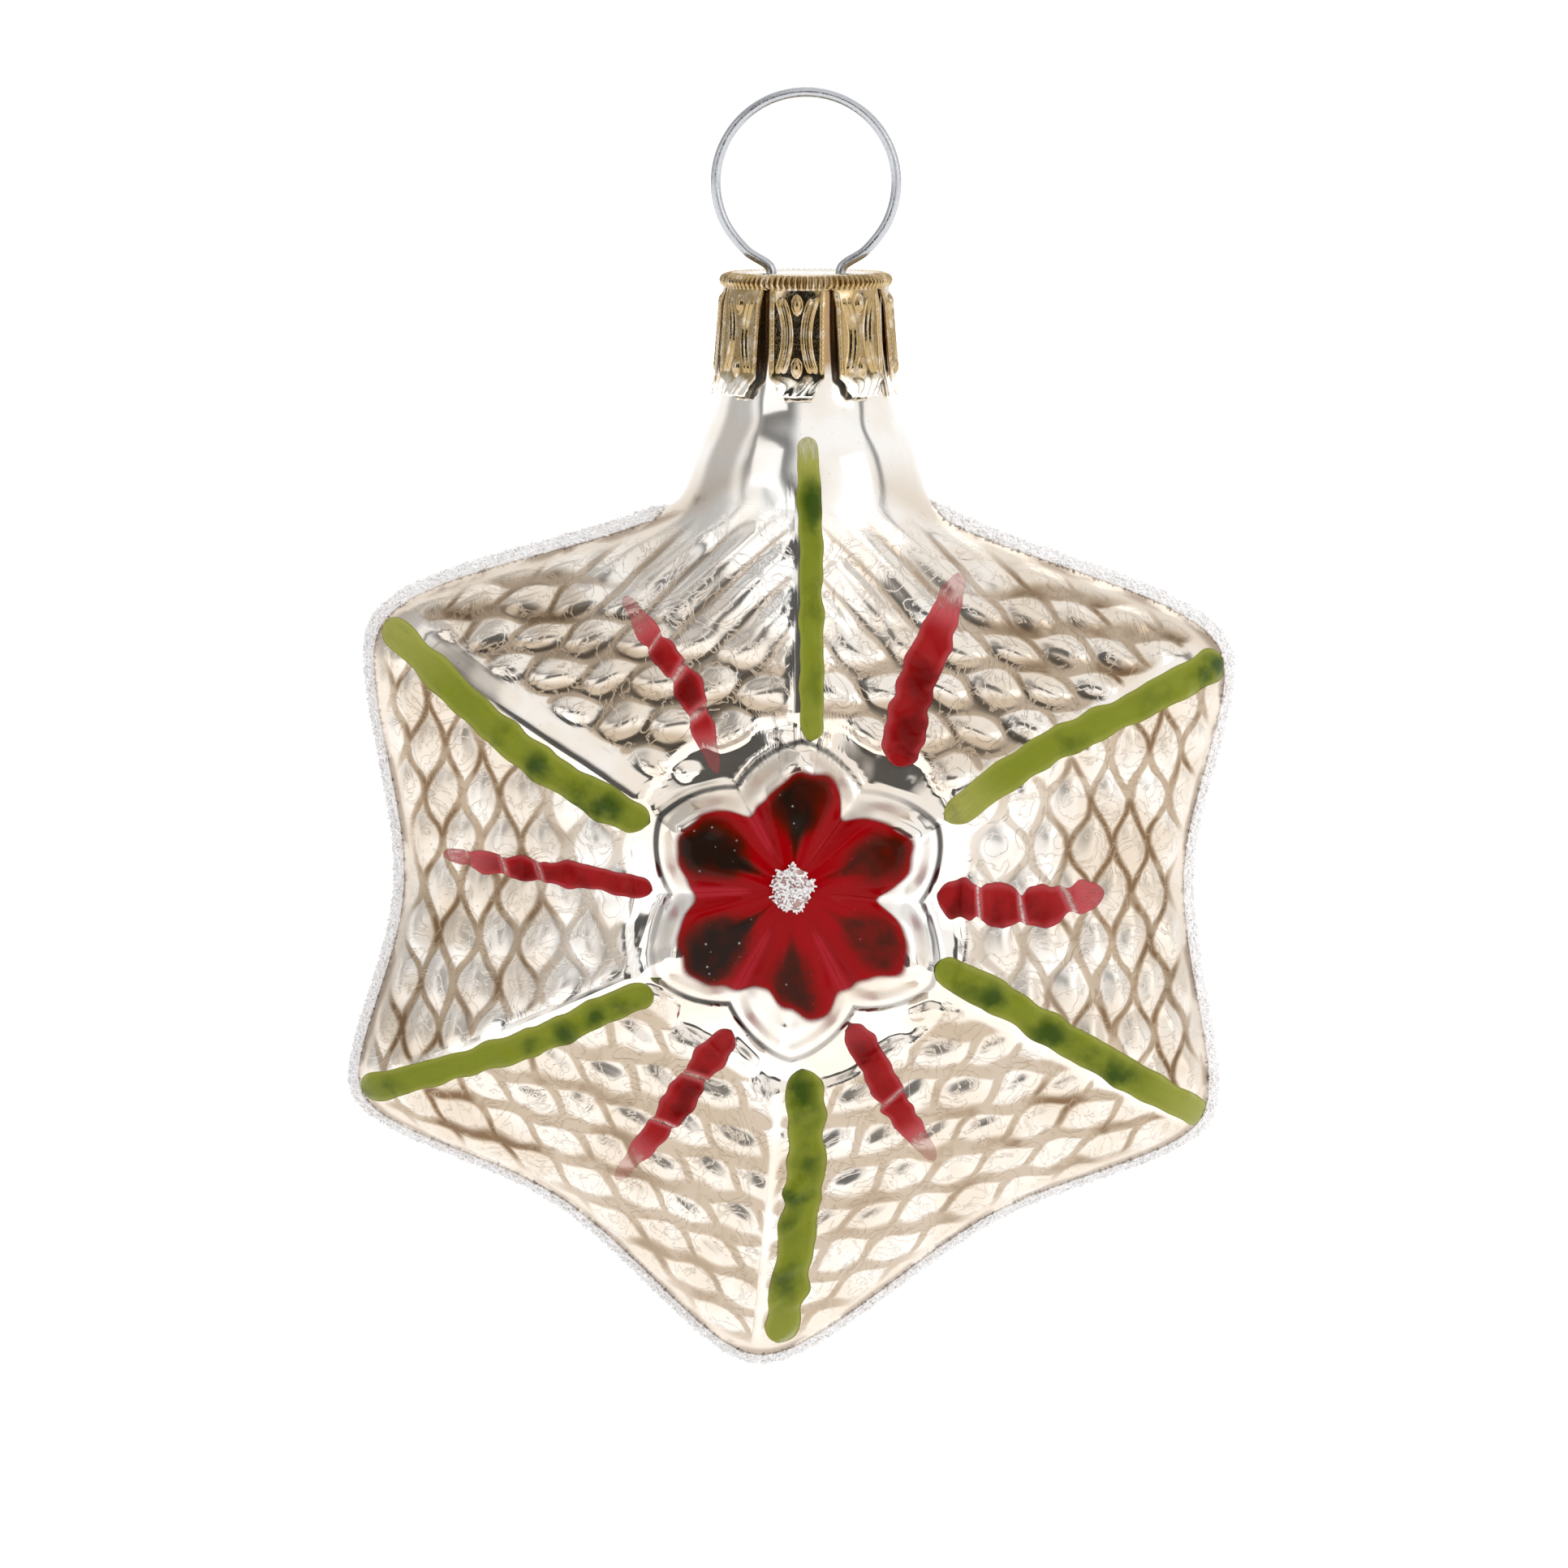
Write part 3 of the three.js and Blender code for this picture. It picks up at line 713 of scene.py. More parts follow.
@dataclass(frozen=True)
class BrushedPaint:
    """Glossy paint whose colour deepens where it pools and thins out at frayed ends."""

    name: str
    thin: Colour
    body: Colour
    deep: Colour
    marks: Marks = Marks(500.0, 2600.0, 700.0)
    roughness: float = 0.28
    streaks_across: float = 6.0
    streaks_along: float = 0.35
    streak_depth: float = 0.00005

    def make(self, mottle: bpy.types.NodeTree) -> bpy.types.Material:
        """Builds the material.

        Args:
            mottle: The shared mottle group.

        Returns:
            The material.
        """
        sheet, shader, material = start_material(self.name)
        cloud, specks, _ = self.marks.place(sheet, mottle)
        across, pool, thin = (sheet.value(name) for name in ("across", "pool", "thin"))
        brush = sheet.add("ShaderNodeCombineXYZ")
        sheet.feed(brush.inputs["X"], sheet.times(across, self.streaks_across))
        sheet.feed(brush.inputs["Y"], sheet.times(sheet.value("along"), self.streaks_along))
        streaks = sheet.noise(2.2, 3.0, brush.outputs["Vector"])
        pooled = sheet.line(cloud, 0.3, sheet.times(sheet.line(cloud, 0.5, 0.7), pool))
        base = sheet.layers(
            self.body,
            (sheet.ease(sheet.math("ABSOLUTE", across), 0.55, 1.0, 0.0, 0.45), self.thin),
            (sheet.ease(pooled, 0.15, 1.25), self.deep),
            (sheet.ease(thin, 0.0, 0.6), self.thin),
            (sheet.times(specks, 0.3), self.deep),
        )
        sheet.feed(shader.inputs["Base Color"], base)
        frayed = sheet.math("SUBTRACT", sheet.line(thin, 1.25, streaks), 0.5)
        sheet.feed(shader.inputs["Alpha"], sheet.ease(frayed, 0.45, 0.95, 1.0, 0.25))
        set_plain(shader, Roughness=self.roughness, Specular_IOR_Level=0.08, Coat_Weight=0.04,
                  Coat_Roughness=0.08)
        add_bump(sheet, shader, streaks, self.streak_depth, 0.5)
        return material


@dataclass(frozen=True)
class PetalLacquer:
    """Clear dark red lacquer over silver, nearly black where it has pooled, with painted highlights along its
    seams and on its bubbles.
    """

    rose: Colour = (0.50, 0.02, 0.035)
    red: Colour = (0.32, 0.0, 0.002)
    brown: Colour = (0.085, 0.006, 0.001)
    # Pale colour painted on the bubbles as their highlight
    bubble_highlight: Colour = (0.62, 0.54, 0.52)
    black: Colour = (0.016, 0.007, 0.004)
    marks: Marks = Marks(650.0, 1400.0, 500.0)
    roughness: float = 0.22
    bubble_height: float = 0.00025

    def make(self, mottle: bpy.types.NodeTree) -> bpy.types.Material:
        """Builds the material.

        Args:
            mottle: The shared mottle group.

        Returns:
            The material.
        """
        sheet, shader, material = start_material("petal_lacquer")
        cloud, specks, _ = self.marks.place(sheet, mottle)
        pool, glow, edge = (sheet.value(name) for name in ("pool", "glow", "edge"))
        cloudy = sheet.times(pool, sheet.line(cloud, 0.3, 0.85))
        bubbles = sheet.times(specks, sheet.ease(pool, 0.6, 0.9))
        base = sheet.layers(
            self.red,
            # Painted highlight: the rose along the seams between petals stands in for the reflection in the
            # grooves
            (sheet.ease(glow, 0.2, 1.2), self.rose),
            (sheet.ease(cloudy, 0.15, 0.75), self.brown),
            (sheet.ease(cloudy, 0.5, 1.15), self.black),
            (sheet.times(sheet.ease(edge, 0.5, 1.0), sheet.value("burnt"), 0.6), self.brown),
            (sheet.times(specks, 0.25), self.rose),
            # Painted highlight on the bubbles, beside their real coat and bump
            (sheet.times(bubbles, 0.75), self.bubble_highlight),
        )
        sheet.feed(shader.inputs["Base Color"], base)
        sheet.feed(shader.inputs["Alpha"], sheet.ease(edge, 0.6, 1.0, 1.0, 0.0))
        sheet.feed(shader.inputs["Coat Weight"], sheet.line(bubbles, 0.9, 0.08))
        set_plain(shader, Roughness=self.roughness, Specular_IOR_Level=0.05, Coat_Roughness=0.03)
        add_bump(sheet, shader, bubbles, self.bubble_height)
        return material


@dataclass(frozen=True)
class BrassFoil:
    """Bright pressed foil, pale gold with a silvery bloom and fine scratches."""

    gold: Colour = (0.38, 0.27, 0.13)
    silver: Colour = (0.95, 0.90, 0.81)
    marks: Marks = Marks(1300.0, 3200.0, 1600.0)
    roughness: float = 0.07
    scratch_depth: float = 0.00001

    def make(self, mottle: bpy.types.NodeTree) -> bpy.types.Material:
        """Builds the material.

        Args:
            mottle: The shared mottle group.

        Returns:
            The material.
        """
        sheet, shader, material = start_material("cap_foil")
        cloud, _, wrinkles = self.marks.place(sheet, mottle)
        worn = sheet.line(cloud, 0.3, sheet.value("worn"))
        sheet.feed(shader.inputs["Base Color"],
                   sheet.layers(self.gold, (sheet.ease(worn, 0.1, 0.7), self.silver)))
        sheet.feed(shader.inputs["Roughness"], sheet.line(wrinkles, 0.08, self.roughness))
        set_plain(shader, Metallic=1.0)
        add_bump(sheet, shader, wrinkles, self.scratch_depth, 0.12)
        return material


@dataclass(frozen=True)
class DrawnWire:
    """Bright drawn steel wire with fine pits."""

    steel: Colour = (0.44, 0.45, 0.47)
    pit: Colour = (0.42, 0.42, 0.43)
    marks: Marks = Marks(1500.0, 2200.0, 2400.0)
    roughness: float = 0.12
    scratch_depth: float = 0.000008

    def make(self, mottle: bpy.types.NodeTree) -> bpy.types.Material:
        """Builds the material.

        Args:
            mottle: The shared mottle group.

        Returns:
            The material.
        """
        sheet, shader, material = start_material("hanger_steel")
        cloud, specks, wrinkles = self.marks.place(sheet, mottle)
        sheet.feed(shader.inputs["Base Color"], sheet.layers(self.steel, (specks, self.pit)))
        sheet.feed(shader.inputs["Roughness"], sheet.line(cloud, 0.10, self.roughness))
        set_plain(shader, Metallic=1.0)
        add_bump(sheet, shader, wrinkles, self.scratch_depth, 0.4)
        return material


@dataclass(frozen=True)
class GlassGlitter:
    """Fine clear glass grains, white with a faint pink in a few of them."""

    white: Colour = (0.94, 0.935, 0.93)
    tint: Colour = (0.93, 0.88, 0.86)
    # Colour of the painted shade between the grains, laid on the surface under them
    bed: Colour = (0.42, 0.24, 0.22)
    marks: Marks = Marks(1800.0, 4000.0, 3000.0)
    roughness: float = 0.15

    def make(self, mottle: bpy.types.NodeTree) -> bpy.types.Material:
        """Builds the material.

        Args:
            mottle: The shared mottle group.

        Returns:
            The material.
        """
        sheet, shader, material = start_material("glitter")
        cloud, _, _ = self.marks.place(sheet, mottle)
        # The surface under the grains takes the painted shade colour
        base = sheet.layers(self.white, (sheet.times(cloud, 0.4), self.tint), (sheet.value("bed"), self.bed))
        sheet.feed(shader.inputs["Base Color"], base)
        sheet.feed(shader.inputs["Roughness"], sheet.line(cloud, 0.2, self.roughness))
        set_plain(shader, Coat_Weight=0.6)
        return material


# The blown glass


@dataclass(frozen=True)
class StarForm:
    """The star's outline and depth, and the neck that it was blown through."""

    inset: float = 0.0
    tip_reach: float = 29.7
    corner_reach: float = 24.4
    tips: tuple = ((30.2, 0.8), (88.8, -0.7), (146.9, 1.0), (204.9, 0.1), (265.2, -0.6), (331.0, -0.7))
    corners: tuple = ((0.9, -0.2), (65.5, 0.6), (111.1, 0.5), (178.4, 0.0), (234.2, -0.3), (300.1, -0.8))
    side_hollow: float = 1.95
    tip_rounding: float = 0.15
    half_depth: float = 10.5
    flank_fall: float = 0.45
    rim_squareness: float = 7.0
    neck: tuple = ((17.0, 6.8), (25.2, 7.1), (30.3, 5.35), (33.2, 4.75), (37.45, 4.6))
    neck_root_slope: float = 2.2
    shoulder_blend: float = 16.0
    search_span: tuple = (6.0, 44.0)

    def marks(self) -> tuple[np.ndarray, np.ndarray, np.ndarray]:
        """Sorts tips and corners by angle.

        Returns:
            Their angles in degrees, their reaches, and which of them are tips.
        """
        rows = [(angle, self.tip_reach + longer, True) for angle, longer in self.tips]
        rows += [(angle, self.corner_reach + longer, False) for angle, longer in self.corners]
        angle, reach, is_tip = zip(*sorted(rows))
        return np.array(angle), np.array(reach), np.array(is_tip)

    def sector(self, angle: np.ndarray) -> tuple[np.ndarray, ...]:
        """Finds the tip and the corner that each direction lies between.

        Args:
            angle: Directions in radians, counter-clockwise from +X as seen from the front.

        Returns:
            The tip's and the corner's row in `marks`, and the share of the way from tip to corner.
        """
        at, _, is_tip = self.marks()
        degrees = np.degrees(angle) % 360.0
        above = np.searchsorted(at, degrees, side="right") % len(at)
        below = (above - 1) % len(at)
        along = ((degrees - at[below]) % 360.0) / ((at[above] - at[below]) % 360.0)
        from_tip = np.where(is_tip[below], along, 1.0 - along)
        return np.where(is_tip[below], below, above), np.where(is_tip[below], above, below), from_tip

    def reach(self, angle: np.ndarray) -> np.ndarray:
        """Gives how far the outline lies from the star's centre.

        Args:
            angle: Directions in radians.

        Returns:
            The distances in millimetres.
        """
        _, far, _ = self.marks()
        tip, corner, from_tip = self.sector(angle)
        full = math.hypot(1.0, self.tip_rounding)
        rise = (full - np.hypot(from_tip, self.tip_rounding)) / (full - self.tip_rounding)
        rise = np.maximum(rise, 0.0) ** self.side_hollow
        return far[corner] + (far[tip] - far[corner]) * rise - self.inset

    def share(self, x: np.ndarray, z: np.ndarray) -> np.ndarray:
        """Gives how far out a point of the face lies, as a share of the way to the outline."""
        from_centre = x - STAR_SHIFT
        return np.hypot(from_centre, z) / self.reach(np.arctan2(z, from_centre))

    def neck_radius(self, z: np.ndarray) -> np.ndarray:
        """Gives the neck's radius at each height."""
        line = smooth_line(self.neck, 200)
        return np.interp(z, line[:, 0], line[:, 1]) - self.inset

    def depth_squared(self, x: np.ndarray, z: np.ndarray) -> np.ndarray:
        """Gives the square of the surface's y, which is negative outside the outline.

        Args:
            x: Distances from the neck's axis.
            z: Heights from the star's centre.

        Returns:
            The squares, in square millimetres.
        """
        share = self.share(x, z)
        flank = np.maximum(1.0 - self.flank_fall * share, 0.2)
        star = ((self.half_depth - self.inset) * flank) ** 2 * (1.0 - share ** self.rim_squareness)
        below_root = np.maximum(self.neck[0][0] - z, 0.0) * self.neck_root_slope
        neck = self.neck_radius(z) ** 2 - x ** 2 - below_root ** 2
        near = np.maximum(self.shoulder_blend - np.abs(star - neck), 0.0) / self.shoulder_blend
        return np.maximum(star, neck) + near * near * self.shoulder_blend / 4.0

    def outline(self, angle: np.ndarray) -> np.ndarray:
        """Finds where each ray from the star's centre leaves the glass or meets the neck's rim.

        Args:
            angle: Directions in radians.

        Returns:
            The distances in millimetres.
        """
        steps = np.linspace(*self.search_span, 400)
        outside = self.is_outside(angle[:, None], steps[None, :])
        first = np.argmax(outside, axis=1)
        near, far = steps[first - 1], steps[first]
        for _ in range(HALVINGS):
            middle = (near + far) / 2.0
            out = self.is_outside(angle, middle)
            near, far = np.where(out, near, middle), np.where(out, middle, far)
        return (near + far) / 2.0

    def is_outside(self, angle: np.ndarray, distance: np.ndarray) -> np.ndarray:
        """Tells whether points along rays lie past the glass or above the neck's rim."""
        x, z = STAR_SHIFT + distance * np.cos(angle), distance * np.sin(angle)
        return (self.depth_squared(x, z) < 0.0) | (z > self.neck[-1][0])


@dataclass(frozen=True)
class Rosette:
    """Six raised petals that meet a little above the middle, with a moat round them."""

    x: float = 0.05
    z: float = 0.1
    meeting: tuple = (-0.25, 0.95)
    tip_radius: float = 9.6
    notch_radius: float = 7.5
    pointedness: float = 1.25
    moat_tip_radius: float = 10.5
    moat_notch_radius: float = 9.5
    turn: float = 88.0
    rise: float = 1.25
    flank: float = 1.5
    moat_depth: float = 0.45
    scallop: float = 1.3
    moat_wider: tuple = (0.0, 1.3, 0.2, 0.0, 0.0, 0.3, 0.6, 0.9, 0.2, 0.0, 0.2, 1.3)
    spoon_depth: float = 0.3
    seam_depth: float = 0.75
    names: tuple = ("top", "upper_right", "lower_right", "bottom", "lower_left", "upper_left")

    def pull(self, radius: np.ndarray) -> np.ndarray:
        """Tells how far places inside the rosette follow the petals' meeting point."""
        return np.maximum(1.0 - radius / self.tip_radius, 0.0)

    def point(self, radius: np.ndarray, degrees: np.ndarray) -> tuple[np.ndarray, np.ndarray]:
        """Places a point of the petals' pattern on the face.

        Args:
            radius: Distances from where the petals meet.
            degrees: Directions from there.

        Returns:
            x from the star's centre line and z from its centre.
        """
        pull = self.pull(radius)
        x = self.x + radius * np.cos(np.radians(degrees)) + self.meeting[0] * pull
        return x, self.z + radius * np.sin(np.radians(degrees)) + self.meeting[1] * pull

    def polar(self, x: np.ndarray, z: np.ndarray) -> tuple[np.ndarray, np.ndarray]:
        """Gives each point's distance from where the petals meet and its angle from a petal's line.

        Args:
            x: Distances from the star's centre line.
            z: Heights from the star's centre.

        Returns:
            Distances, and angles in degrees from -30 to 30.
        """
        across, up = x - self.x, z - self.z
        for _ in range(4):
            pull = self.pull(np.hypot(across, up))
            across, up = x - self.x - self.meeting[0] * pull, z - self.z - self.meeting[1] * pull
        angle = np.degrees(np.arctan2(up, across)) - self.turn
        return np.hypot(across, up), (angle + HALF_PETAL) % (2.0 * HALF_PETAL) - HALF_PETAL

    def edge(self, off_line: np.ndarray, tip: float, notch: float) -> np.ndarray:
        """Gives the radius of a six-pointed outline at angles from a petal's line."""
        return tip - (tip - notch) * (np.abs(off_line) / HALF_PETAL) ** self.pointedness

    def relief(self, x: np.ndarray, z: np.ndarray, pillow: np.ndarray) -> np.ndarray:
        """Gives the height over the plain star, in millimetres.

        Args:
            x: Distances from the star's centre line.
            z: Heights from the star's centre.
            pillow: How much a pillow of the lattice lies there, from 0 to 1.

        Returns:
            The heights.
        """
        radius, off_line = self.polar(x, z)
        inner = self.edge(off_line, self.tip_radius, self.notch_radius)
        outer = self.edge(off_line, self.moat_tip_radius, self.moat_notch_radius)
        flank = smoothstep(radius, inner, inner - self.flank)
        seam = smoothstep(np.abs(off_line) / HALF_PETAL, 0.55, 1.0)
        groove = self.seam_depth * seam * smoothstep(radius, 1.0, 6.0)
        spoon_place = ((radius - 5.6) / 2.2) ** 2 + (radius * np.radians(off_line) / 1.3) ** 2
        spoon = self.spoon_depth * np.exp(-spoon_place)
        outer = outer + self.wider(x, z) + self.scallop * (0.5 - pillow)
        moat = self.moat_depth * smoothstep(radius, inner, inner + 0.5)
        moat = moat * smoothstep(radius, outer, outer - 0.5)
        return np.where(radius < inner, flank * (self.rise - groove - spoon), -moat)

    def wider(self, x: np.ndarray, z: np.ndarray) -> np.ndarray:
        """Gives how much wider than usual the moat is in each direction."""
        turn = np.degrees(np.arctan2(z - self.z, x - self.x)) - self.turn
        return ring_value(self.moat_wider, turn / 360.0)

    def moat_share(self, x: np.ndarray, z: np.ndarray, pillow: np.ndarray) -> np.ndarray:
        """Tells how much a point lies in the bare band of rosette rim and moat.

        Args:
            x: Distances from the star's centre line.
            z: Heights from the star's centre.
            pillow: How much a pillow of the lattice lies there, from 0 to 1.

        Returns:
            Shares from 0 to 1.
        """
        radius, off_line = self.polar(x, z)
        outer = self.edge(off_line, self.moat_tip_radius, self.moat_notch_radius) + self.wider(x, z)
        outer = outer + self.scallop * (0.5 - pillow)
        return smoothstep(radius, outer + 0.5, outer - 0.2)

    def moat_shade(self, x: np.ndarray, z: np.ndarray) -> tuple[np.ndarray, np.ndarray]:
        """Finds the line of painted shade in the moat round the petals.

        Args:
            x: Distances from the star's centre line.
            z: Heights from the star's centre.

        Returns:
            The distance out from the petals' rim, and how dark the line is there.
        """
        radius, off_line = self.polar(x, z)
        turn = np.arctan2(z - self.z, x - self.x)
        strength = 0.65 + 0.25 * np.sin(3.0 * turn + 1.0) + 0.25 * np.sin(5.0 * turn)
        return radius - self.edge(off_line, self.tip_radius, self.notch_radius), np.clip(strength, 0.0, 1.0)

    def petal_share(self, x: np.ndarray, z: np.ndarray) -> np.ndarray:
        """Tells how much a point lies on the petals and their rim.

        Args:
            x: Distances from the star's centre line.
            z: Heights from the star's centre.

        Returns:
            Shares from 0 to 1.
        """
        radius, off_line = self.polar(x, z)
        inner = self.edge(off_line, self.tip_radius, self.notch_radius)
        return smoothstep(radius, inner + 0.1, inner - 0.5)


@dataclass(frozen=True)
class Quilting:
    """The diamond lattice on the panels between the ridges."""

    row_pitch: float = 3.15
    rim_row_pitch: float = 2.1
    crowding_start: float = 12.0
    crowding_end: float = 24.4
    diamond_length: float = 5.8
    ridge_half_width: float = 0.75
    ridge_blend: float = 0.35
    bare_bands: tuple = (0.5, 0.0, 1.1, 0.2, -0.5, 0.2)
    ogee: float = 0.55
    pillow_rise: float = 0.4

    def row(self, distance: np.ndarray) -> np.ndarray:
        """Counts rows from the centre: they lie closer together towards the rim.

        Args:
            distance: Distances from the centre, in millimetres.

        Returns:
            The row's number, with its fraction.
        """
        span = self.crowding_end - self.crowding_start
        crowding = (1.0 / self.rim_row_pitch - 1.0 / self.row_pitch) / span
        past = np.maximum(distance - self.crowding_start, 0.0)
        return distance / self.row_pitch + crowding * past * past / 2.0

    def tree(self) -> bpy.types.NodeTree:
        """Builds the geometry tree that raises the pillows.

        Returns:
            The tree.
        """
        sheet, given, result = new_geometry_tree("quilting", ("Pillow Rise", "Float"))
        row, across, mask = (sheet.stored(name) for name in ("row", "side", "quilt"))
        domes = []
        for operation, name in (("ADD", "keep_rising"), ("SUBTRACT", "keep_falling")):
            phase = sheet.math(operation, row, across)
            wave = sheet.math("POWER", sheet.math("SINE", sheet.times(phase, math.pi)), 2.0)
            less = sheet.times(sheet.math("SUBTRACT", 1.0, wave), sheet.stored(name))
            domes.append(sheet.math("SUBTRACT", 1.0, less))
        dome = sheet.times(sheet.times(*domes), mask)
        relief = sheet.times(sheet.times(dome, given.outputs["Pillow Rise"]), MM)
        offset = sheet.add("ShaderNodeVectorMath", operation="SCALE")
        sheet.feed(offset.inputs[0], sheet.add("GeometryNodeInputNormal").outputs["Normal"])
        sheet.feed(offset.inputs["Scale"], relief)
        move = sheet.add("GeometryNodeSetPosition")
        sheet.feed(move.inputs["Geometry"], given.outputs["Geometry"])
        sheet.feed(move.inputs["Offset"], offset.outputs["Vector"])
        finish_tree(sheet, result, move.outputs["Geometry"], given.outputs["Material"])
        return sheet.tree


@dataclass
class GlassStar:
    """The blown glass: outside, neck rim and inside as one closed skin."""

    form: StarForm = StarForm()
    rosette: Rosette = Rosette()
    quilting: Quilting = Quilting()
    wall: float = 0.8
    column_spacing: float = 0.42
    rim_columns: int = 40
    ridge_rise: float = 0.5
    ridge_reach: float = 3.0
    front_rings: int = 96
    back_rings: int = 64
    inner_rings: int = 12

    def rim_angles(self, form: StarForm) -> tuple[float, float]:
        """Gives the directions from the star's centre to the neck rim's right and left ends."""
        height, radius = form.neck[-1][0], form.neck[-1][1] - form.inset
        return math.atan2(height, radius - STAR_SHIFT), math.atan2(height, -radius - STAR_SHIFT)

    def columns(self, form: StarForm, counts: list[int] | None) -> tuple[np.ndarray, list[int], np.ndarray]:
        """Spreads rays evenly along the outline, with one on each tip, corner and rim end.

        Args:
            form: The skin's form.
            counts: How many rays each stretch has, or None to choose them.

        Returns:
            The rays' angles, the counts, and which rays end inside the neck's rim.
        """
        right, left = self.rim_angles(form)
        marks = [math.radians(angle) for angle in form.marks()[0]]
        keys = sorted([a for a in marks if not right < a < left] + [right, left])
        chosen: list[int] = []
        angles: list[np.ndarray] = []
        opened: list[np.ndarray] = []
        for number, start in enumerate(keys):
            end = keys[(number + 1) % len(keys)]
            end += 2.0 * math.pi if end <= start else 0.0
            is_rim = start == right
            fine = np.linspace(start, end, 400)
            reach = form.outline(fine[1:-1])
            reach = np.concatenate([reach[:1], reach, reach[-1:]])
            x, z = reach * np.cos(fine), reach * np.sin(fine)
            length = way_along(np.stack([x, z], axis=1))
            spread = self.rim_columns if is_rim else math.ceil(length[-1] / self.column_spacing)
            count = counts[number] if counts else spread
            chosen.append(count)
            if is_rim:
                height, radius = form.neck[-1][0], form.neck[-1][1] - form.inset
                swing = np.linspace(0.0, math.pi, count + 1)[:-1]
                angles.append(np.arctan2(height, radius * np.cos(swing) - STAR_SHIFT))
                opened.append(np.arange(count) > 0)
            else:
                angles.append(np.interp(np.linspace(0.0, length[-1], count + 1)[:-1], length, fine))
                opened.append(np.zeros(count, bool))
        return np.concatenate(angles), chosen, np.concatenate(opened)

    @staticmethod
    def ring_shares(rings: int) -> np.ndarray:
        """Spaces rings from the centre to the outline, closer together at the rim.

        Args:
            rings: How many rings there are beside the centre.

        Returns:
            Their places, as shares of the way to the outline.
        """
        flat = round(rings * 0.8)
        near_rim = np.linspace(0.0, 1.0, rings - flat + 1)[1:]
        return np.concatenate([np.linspace(0.0, 0.9, flat + 1), 1.0 - 0.1 * (1.0 - near_rim) ** 2])

    def skin(self, form: StarForm, counts: list[int] | None, rings: tuple[int, int],
             first: int) -> dict:
        """Lays one skin over both faces.

        Args:
            form: The skin's form.
            counts: How many rays each stretch has, or None to choose them.
            rings: How many rings the front and the back have.
            first: The number that its first vertex gets.

        Returns:
            The points, the two grids of vertex numbers, the counts and the opened rays.
        """
        angle, counts, opened = self.columns(form, counts)
        reach = form.outline(angle)
        right, left = self.rim_angles(form)
        on_rim = opened | np.isclose(angle, right) | np.isclose(angle, left)
        reach = np.where(on_rim, form.neck[-1][0] / np.sin(angle), reach)
        points: list[np.ndarray] = []
        grids: list[np.ndarray] = []
        total = first
        for side, ring_count in zip((-1.0, 1.0), rings):
            share = self.ring_shares(ring_count)
            radius = share[:, None] * reach[None, :]
            x = STAR_SHIFT + radius * np.cos(angle)
            z = radius * np.sin(angle)
            depth = np.sqrt(np.maximum(form.depth_squared(x, z), 0.0))
            depth[-1] = np.where(opened, depth[-1], 0.0)
            block = np.stack([x, side * depth, z], axis=-1)
            grid = np.zeros(x.shape, int)
            grid[0] = total
            grid[1:] = total + 1 + np.arange(grid[1:].size).reshape(grid[1:].shape)
            points.append(np.concatenate([block[0, :1], block[1:].reshape(-1, 3)]))
            total += 1 + grid[1:].size
            if side > 0:
                grid[-1] = np.where(opened, grid[-1], grids[0][-1, :-1])
            grids.append(np.concatenate([grid, grid[:, :1]], axis=1))
        return {"points": np.concatenate(points), "front": grids[0], "back": grids[1],
                "counts": counts, "opened": opened, "next": total}

    def build(self, material: bpy.types.Material) -> bpy.types.Object:
        """Makes the glass with its relief.

        Args:
            material: The silvered glass.

        Returns:
            The finished piece.
        """
        outer = self.skin(self.form, None, (self.front_rings, self.back_rings), 0)
        inner_form = StarForm(inset=self.wall)
        inner = self.skin(inner_form, outer["counts"], (self.inner_rings, self.inner_rings), outer["next"])
        faces = grid_faces(outer["front"]) + grid_faces(outer["back"], flip=True)
        faces += grid_faces(inner["front"], flip=True) + grid_faces(inner["back"])
        rim = np.flatnonzero(outer["opened"])
        rim = np.arange(rim[0] - 1, rim[-1] + 2)
        for name, flip in (("front", False), ("back", True)):
            strip = np.stack([outer[name][-1][rim], inner[name][-1][rim]])
            faces += grid_faces(strip, flip=flip)
        points = np.concatenate([outer["points"], inner["points"]])
        used = np.zeros(len(points), bool)
        used[np.unique(np.concatenate([np.asarray(face) for face in faces]))] = True
        number = np.cumsum(used) - 1
        faces = [tuple(number[list(face)]) for face in faces]
        is_outer = (np.arange(len(points)) < outer["next"])[used]
        points = points[used]
        values = self.zones(points, is_outer)
        points = points + values.pop("lift")[:, None] * [0.0, 1.0, 0.0]
        glass = make_piece("blown_star", points, faces)
        set_values(glass, **values)
        return run_tree(glass, self.quilting.tree(), Pillow_Rise=self.quilting.pillow_rise, Material=material)

